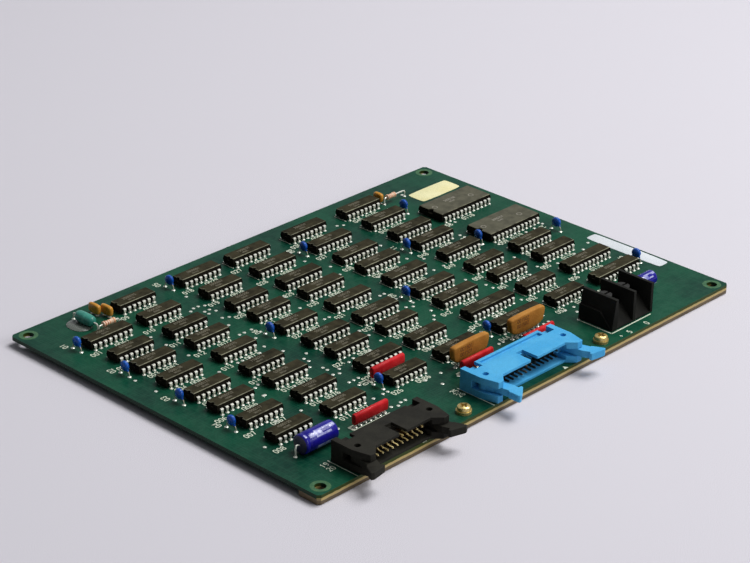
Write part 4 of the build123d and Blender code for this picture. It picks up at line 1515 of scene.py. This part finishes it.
@dataclass
class Capacitors:
    """Dipped discs and pillows, sleeved cans and one film capacitor in its glue."""

    # Column, row and length of each.
    ceramics: tuple[tuple[float, float, float], ...] = (
        (7.67, 49.3, 6.4), (8.66, 47.57, 6.4), (69.75, 47.7, 5.2))
    ceramic_z: float = 2.7
    ceramic_feet: float = 1.45
    disc_r: float = 2.08
    disc_z: float = 3.8
    # Shares of a can's radius and half length.
    sleeve: Pairs = (
        (0.5, -1.0), (0.7, -0.985), (0.86, -0.96), (0.95, -0.925), (0.99, -0.88), (1, -0.82),
        (0.93, -0.75), (0.93, -0.71), (1, -0.66), (1, -0.3), (1, 0.1), (1, 0.6), (1, 0.9),
        (0.975, 0.95), (0.9, 0.98), (0.7, 0.995), (0.6, 1.0))
    # First and last band along a can and first and last side of each pale patch, partly print and partly
    # painted highlight.
    prints: tuple[tuple[int, int, int, int], ...] = (
        (4, 6, 17, 19), (8, 9, 18, 20), (9, 10, 17, 21), (10, 11, 17, 18), (10, 11, 20, 21), (11, 12, 17, 19),
        (9, 11, 25, 28), (11, 12, 26, 28))

    def disc(self) -> tuple[Form, Form]:
        """Lens-shaped dipped disc, standing on edge, and its two splayed leads.

        Returns:
            The disc and the leads about the middle between the feet.
        """
        depth = np.linspace(-1.1, 1.1, 9)
        radius = self.disc_r * np.clip(1 - (np.abs(depth) / 1.12) ** 3, 0, 1) ** 0.45
        body = lathe(np.column_stack([radius, depth]), 20).placed((0, 0, self.disc_z), Y_AXIS, Z_AXIS)
        drips, wires = [], []
        for side in (-1, 1):
            drips.append(wire([(0, side * 1.0, 2.9), (0, side * 1.6, 2.4), (0, side * 2.0, 2.0)],
                              (0.7, 0.5, 0.25), 8))
            wires.append(wire([(0, side * 1.6, 2.5), (0, side * 2.2, 1.7), (0, side * 2.5, 0.9),
                               (0, side * PITCH, 0)], 0.22, 6))
            wires.append(solder_foot(0.85, (0.55, 0.2), (0.3, 0.45)).placed((0, side * PITCH, 0)))
        return Form.joined([body] + drips), Form.joined(wires)

    def build_discs(self) -> None:
        """Makes the discs and their leads."""
        column, row = np.array(DISC_PLACES, float).T
        spots = GRID.at(column, row + 1)
        body, wires = self.disc()
        tones = np.random.default_rng(5).uniform(0, 1, len(spots))
        turns = np.random.default_rng(6).uniform(-7, 7, len(spots))
        Piece("discs", body.copies(spots, turns, tones), (BLUE_DIP,), ("disc_capacitors",)).build()
        Piece("disc_leads", wires.copies(spots), (SHAFT, SOLDER), ("disc_capacitor_leads",),
              TIN.name).build()
        for side in (-1, 1):
            FEET.add(spots + (0, side * PITCH, 0))

    def build_ceramics(self) -> None:
        """Makes the pillow-shaped ceramic capacitors and their leads."""
        straight = wire([(0, 0, 1.0), (0, 0, 0.4), (0, 0, 0)], 0.3, 8, Y_AXIS)
        lead = Form.joined([straight, solder_foot(0.8, (0.5, 0.2), (0.3, 0.4))])
        leads = []
        for number, (column, row, length) in enumerate(self.ceramics, 1):
            middle = GRID.at(column, row)
            outline = smoothed(rectangle(length / 2, 2.1, 0.8), 2)
            body = pillow(outline, -1.0, 1.0, 0.8, 5)
            body = body.placed(middle + (0, 0, self.ceramic_z), Y_AXIS, Z_AXIS)
            Piece("pillow_capacitor_%d" % number, body, (YELLOW_DIP,),
                  ("ceramic_capacitor_%d" % number,), crease=60).build()
            for side in (-1, 1):
                leads.append(lead.copies(FEET.add(middle + (0, side * self.ceramic_feet, 0))))
        Piece("pillow_leads", Form.joined(leads), (TIN, SOLDER), ("ceramic_capacitor_leads",)).build()

    def can(self, name: str, node: str) -> None:
        """Makes one sleeved can lying along X, crimped near its left end, with pale patches that are partly
        print and partly painted highlight.

        Args:
            name: Name of the piece.
            node: CAD node that it replaces.
        """
        middle, half = middle_and_half(node)
        bands = np.zeros((len(self.sleeve) - 1, 32), int)
        bands[[0, 1, -2, -1]] = 2
        for first, last, start, end in self.prints:
            bands[first:last, start:end] = 1
        form = lathe(np.array(self.sleeve) * half[[2, 0]], 32, bands, (2, 2))
        form = form.placed(middle, DOWNWARDS, Y_AXIS)
        Piece(name, form, (SLEEVE, SLEEVE_PRINT_AND_HIGHLIGHT, RUBBER), (node,), crease=50).build()

    def build_film(self) -> None:
        """Makes the film capacitor and the glue that holds it."""
        middle, half = middle_and_half("film_capacitor")
        outline = smoothed(rectangle(half[0], half[1], half[0] * 0.6), 2)
        body = pillow(outline, -half[2], half[2], 1.7, 5).placed(middle)
        Piece("film_dip", body, (TEAL_DIP,), ("film_capacitor",), crease=60).build()
        middle, half = middle_and_half("glue")
        outline = smoothed(rectangle(half[0], half[1], half[0] * 0.6), 3)
        bead = slab(outline, [(-half[2], 0.05), (-half[2] * 0.6, 0), (half[2] * 0.3, 0.5), (half[2], 1.6)])
        Piece("glue_bead", bead.placed(middle), (GLUE,), ("glue",), crease=60).build()

    def build(self) -> None:
        """Makes every capacitor."""
        self.build_discs()
        self.build_ceramics()
        self.can("large_can", "large_electrolytic")
        self.can("small_can", "small_electrolytic")
        self.build_film()


@dataclass
class AxialParts:
    """Two resistors and the leads of every part that lies on its side."""

    # Column, row, length and the distance from its middle to each foot.
    resistors: tuple[tuple[float, float, float, float, float], ...] = (
        (6, 44, 6.4, 5.1, 5.1), (71.45, 46.4, 5.2, 3.9, 8.8))
    resistor_z: float = 2.9
    # Radius in millimetres and share of half the length.
    barrel: Pairs = (
        (0.5, -1), (0.85, -0.98), (1.22, -0.9), (1.25, -0.78), (1.25, -0.6), (1.05, -0.5),
        (1.03, -0.34), (1.03, -0.2), (1.03, -0.04), (1.03, 0.1), (1.03, 0.26), (1.05, 0.44),
        (1.25, 0.56), (1.25, 0.78), (1.22, 0.9), (0.85, 0.98), (0.5, 1))
    # Node, column and row of the left foot, pitches between the feet and rise of the left lead.
    cans: tuple[tuple[str, int, int, int, float], ...] = (
        ("large_electrolytic", -1, -4, 8, 0.5), ("small_electrolytic", 73, -5, 6, 0.2))
    film_foot: float = 7.3

    def resistor(self, length: float) -> Form:
        """Banded barrel with thicker ends, turned about Z.

        Args:
            length: Its length.

        Returns:
            The barrel about its own middle.
        """
        bands = np.zeros(len(self.barrel) - 1, int)
        bands[[3, 6]] = 1
        bands[[8, 12]] = 2
        return lathe(np.array(self.barrel) * (1, length / 2), 16, bands)

    def build(self) -> None:
        """Makes the resistors and the axial leads."""
        leads = []
        for number, (column, row, length, left, right) in enumerate(self.resistors, 1):
            middle = GRID.at(column, row)
            body = self.resistor(length).placed(middle + (0, 0, self.resistor_z), DOWNWARDS, Y_AXIS)
            Piece("banded_resistor_%d" % number, body, (PEACH, BAND_BROWN, BAND_ORANGE),
                  ("resistor_%d" % number,), crease=50).build()
            for side, foot in ((-1, left), (1, right)):
                leads.append(hooked(length, self.resistor_z, foot, side).placed(middle))
                FEET.add(middle + (side * foot, 0, 0))
        for node, column, row, span, lift in self.cans:
            centre, half = middle_and_half(node)
            middle = GRID.at(column + span / 2, row)
            foot = span * PITCH / 2
            for side, rise in ((-1, lift), (1, 0.0)):
                leads.append(hooked(2 * half[0], centre[2] - GRID.top, foot, side, rise).placed(middle))
                FEET.add(middle + (side * foot, 0, 0))
        centre, half = middle_and_half("film_capacitor")
        middle = np.array([centre[0], centre[1], GRID.top])
        for side in (-1, 1):
            lead = hooked(2 * half[1], centre[2] - GRID.top, self.film_foot, side)
            leads.append(lead.placed(middle, Y_AXIS, LEFTWARDS))
            FEET.add(middle + (0, side * self.film_foot, 0))
        Piece("wire_leads", Form.joined(leads), (TIN, SOLDER), ("axial_leads",)).build()


@dataclass
class Labels:
    """Two blank paper labels with rounded corners."""

    corner: float = 1.0
    rim: float = 0.06

    def build(self) -> None:
        """Makes the labels."""
        for node, finish in (("cream_label", CREAM), ("white_label", WHITE_PAPER)):
            middle, half = middle_and_half(node)
            outline = smoothed(rectangle(half[0], half[1], self.corner), 2)
            sheet = slab(outline, [(-half[2], 0), (half[2] * 0.7, 0), (half[2], self.rim)])
            Piece(node + "_paper", sheet.placed(middle), (finish,), (node,)).build()


# ---------------------------------------------------------------- stage
@dataclass
class Stage:
    """Pale floor, soft lamps and the camera.

    The camera's place and target are in millimetres, its roll is in degrees, and the floor and the lamps
    are in metres.
    """

    position: tuple[float, float, float] = (-620.95, -585.06, 431.46)
    target: tuple[float, float, float] = (16.95, 18.37, 1.6)
    roll: float = 0.882
    lens: float = 115.16
    sensor: float = 36.0
    clip: tuple[float, float] = (0.02, 30.0)
    floor_half: float = 6.0
    floor_colour: Colour = (215, 212, 219)
    sky: tuple[float, float, float, float] = (0.86, 0.87, 0.92, 1.0)
    ambient: tuple[float, float] = (0.05, 0.39)
    seen_strength: float = 0.5
    lamp_size: float = 0.9
    lamps: tuple[tuple[str, tuple[float, float, float], float], ...] = (
        ("key", (0.75, -0.2, 1.45), 23.0), ("fill", (0.5, -1.42, 0.9), 9.0))

    def floor(self) -> None:
        """Makes the floor just under the lowest point of the board."""
        mesh = bpy.data.meshes.new("floor")
        size, z = self.floor_half, cad_low.z - FLOOR_GAP
        corners = [(-size, -size, z), (size, -size, z), (size, size, z), (-size, size, z)]
        mesh.from_pydata(corners, [], [(0, 1, 2, 3)])
        made = linked("floor", mesh)
        finish = Finish("floor_paint", self.floor_colour, self.floor_colour, rough=0.8, shine=0.2, patch=400,
                        grain=0.0)
        mesh.materials.append(finish.build())

    def world(self) -> None:
        """Makes the pale surroundings, which light the right side more than the left."""
        world = bpy.data.worlds.new("surroundings")
        bpy.context.scene.world = world
        world.use_nodes = True
        graph = Graph(world.node_tree)
        back = world.node_tree.nodes["Background"]
        rays = graph.node("LightPath").outputs
        seen = graph.math("MAXIMUM", rays["Is Camera Ray"],
                          graph.math("MAXIMUM", rays["Is Glossy Ray"], rays["Is Transmission Ray"]))
        graph.feed(back.inputs["Color"], self.sky)
        side = graph.part(graph.node("TexCoord").outputs["Generated"], "X")
        lit = graph.ramp(side, -1.0, 1.0, *self.ambient)
        strength = graph.math("ADD", graph.math("MULTIPLY", lit, graph.math("SUBTRACT", 1.0, seen)),
                              graph.math("MULTIPLY", self.seen_strength, seen))
        graph.feed(back.inputs["Strength"], strength)

    def lamp(self, name: str, place: Sequence[float], power: float) -> None:
        """Adds one soft square lamp that faces the board.

        Args:
            name: Its name.
            place: Its place in metres.
            power: Its power in watts.
        """
        data = bpy.data.lights.new(name, "AREA")
        data.energy = power
        data.size = self.lamp_size
        made = linked(name, data)
        made.location = place
        made.rotation_euler = (-Vector(place)).to_track_quat("-Z", "Y").to_euler()

    def camera(self) -> None:
        """Makes the camera that looks at the board from its front left."""
        data = bpy.data.cameras.new("camera")
        data.lens = self.lens
        data.sensor_width = self.sensor
        data.clip_start, data.clip_end = self.clip
        made = linked("camera", data)
        place = Vector(self.position) * MM
        aim = Vector(self.target) * MM - place
        turn = aim.to_track_quat("-Z", "Y").to_matrix() @ Matrix.Rotation(math.radians(self.roll), 3, "Z")
        made.matrix_world = Matrix.Translation(place) @ turn.to_4x4()
        bpy.context.scene.camera = made

    def build(self) -> None:
        """Makes the whole stage."""
        self.floor()
        self.world()
        for lamp in self.lamps:
            self.lamp(*lamp)
        self.camera()
        bpy.context.scene.view_settings.view_transform = "Standard"


def main() -> None:
    """Builds the board, its parts and the stage."""
    logging.basicConfig(level=logging.INFO, format="%(message)s")
    places = [(column, row, count) for column, counts in zip(COLUMNS, LEADS_PER_SIDE)
              for row, count in zip(ROWS, counts) if count]
    packages = Packages()
    for number, column in enumerate(COLUMNS, 1):
        own = [place for place in places if place[0] == column]
        packages.build("packages_%d" % number, own, "packages_column_%d" % number,
                       "leads_column_%d" % number)
    WidePackages().build("packages_wide", WIDE_PLACES, "wide_packages", "wide_package_leads")
    Header("header_20", contacts=10, column=10.44, mouth_row=-13.81, reach=15.0,
           angles={"left": 27, "right": 20}, skin=BLACK_NYLON, pin=GOLD, pin_side=SHADED_GOLD,
           bent={4: 1.2, 5: 0.5, 1: -0.4}).build()
    Header("header_26", contacts=13, column=40.16, mouth_row=-12.47, reach=16.8,
           angles={"left": 0, "right": 27}, skin=BLUE_NYLON, pin=DARK_PIN, pin_side=DARK_PIN).build()
    # The terminal plates and screws take zinc darkened as painted shade.
    for node, finish, bevel in (("terminal_block", PHENOLIC, 0.25), ("terminal_plates", ZINC_IN_PAINTED_SHADE, 0.15),
                                ("terminal_screws", ZINC_IN_PAINTED_SHADE, 0.2)):
        dress(node, finish, bevel)
    for group in (Fastenings(), Networks(), Capacitors(), AxialParts(), Labels()):
        group.build()
    Board().build(places + list(WIDE_PLACES))
    Stage().build()


if __name__ == "__main__":
    main()
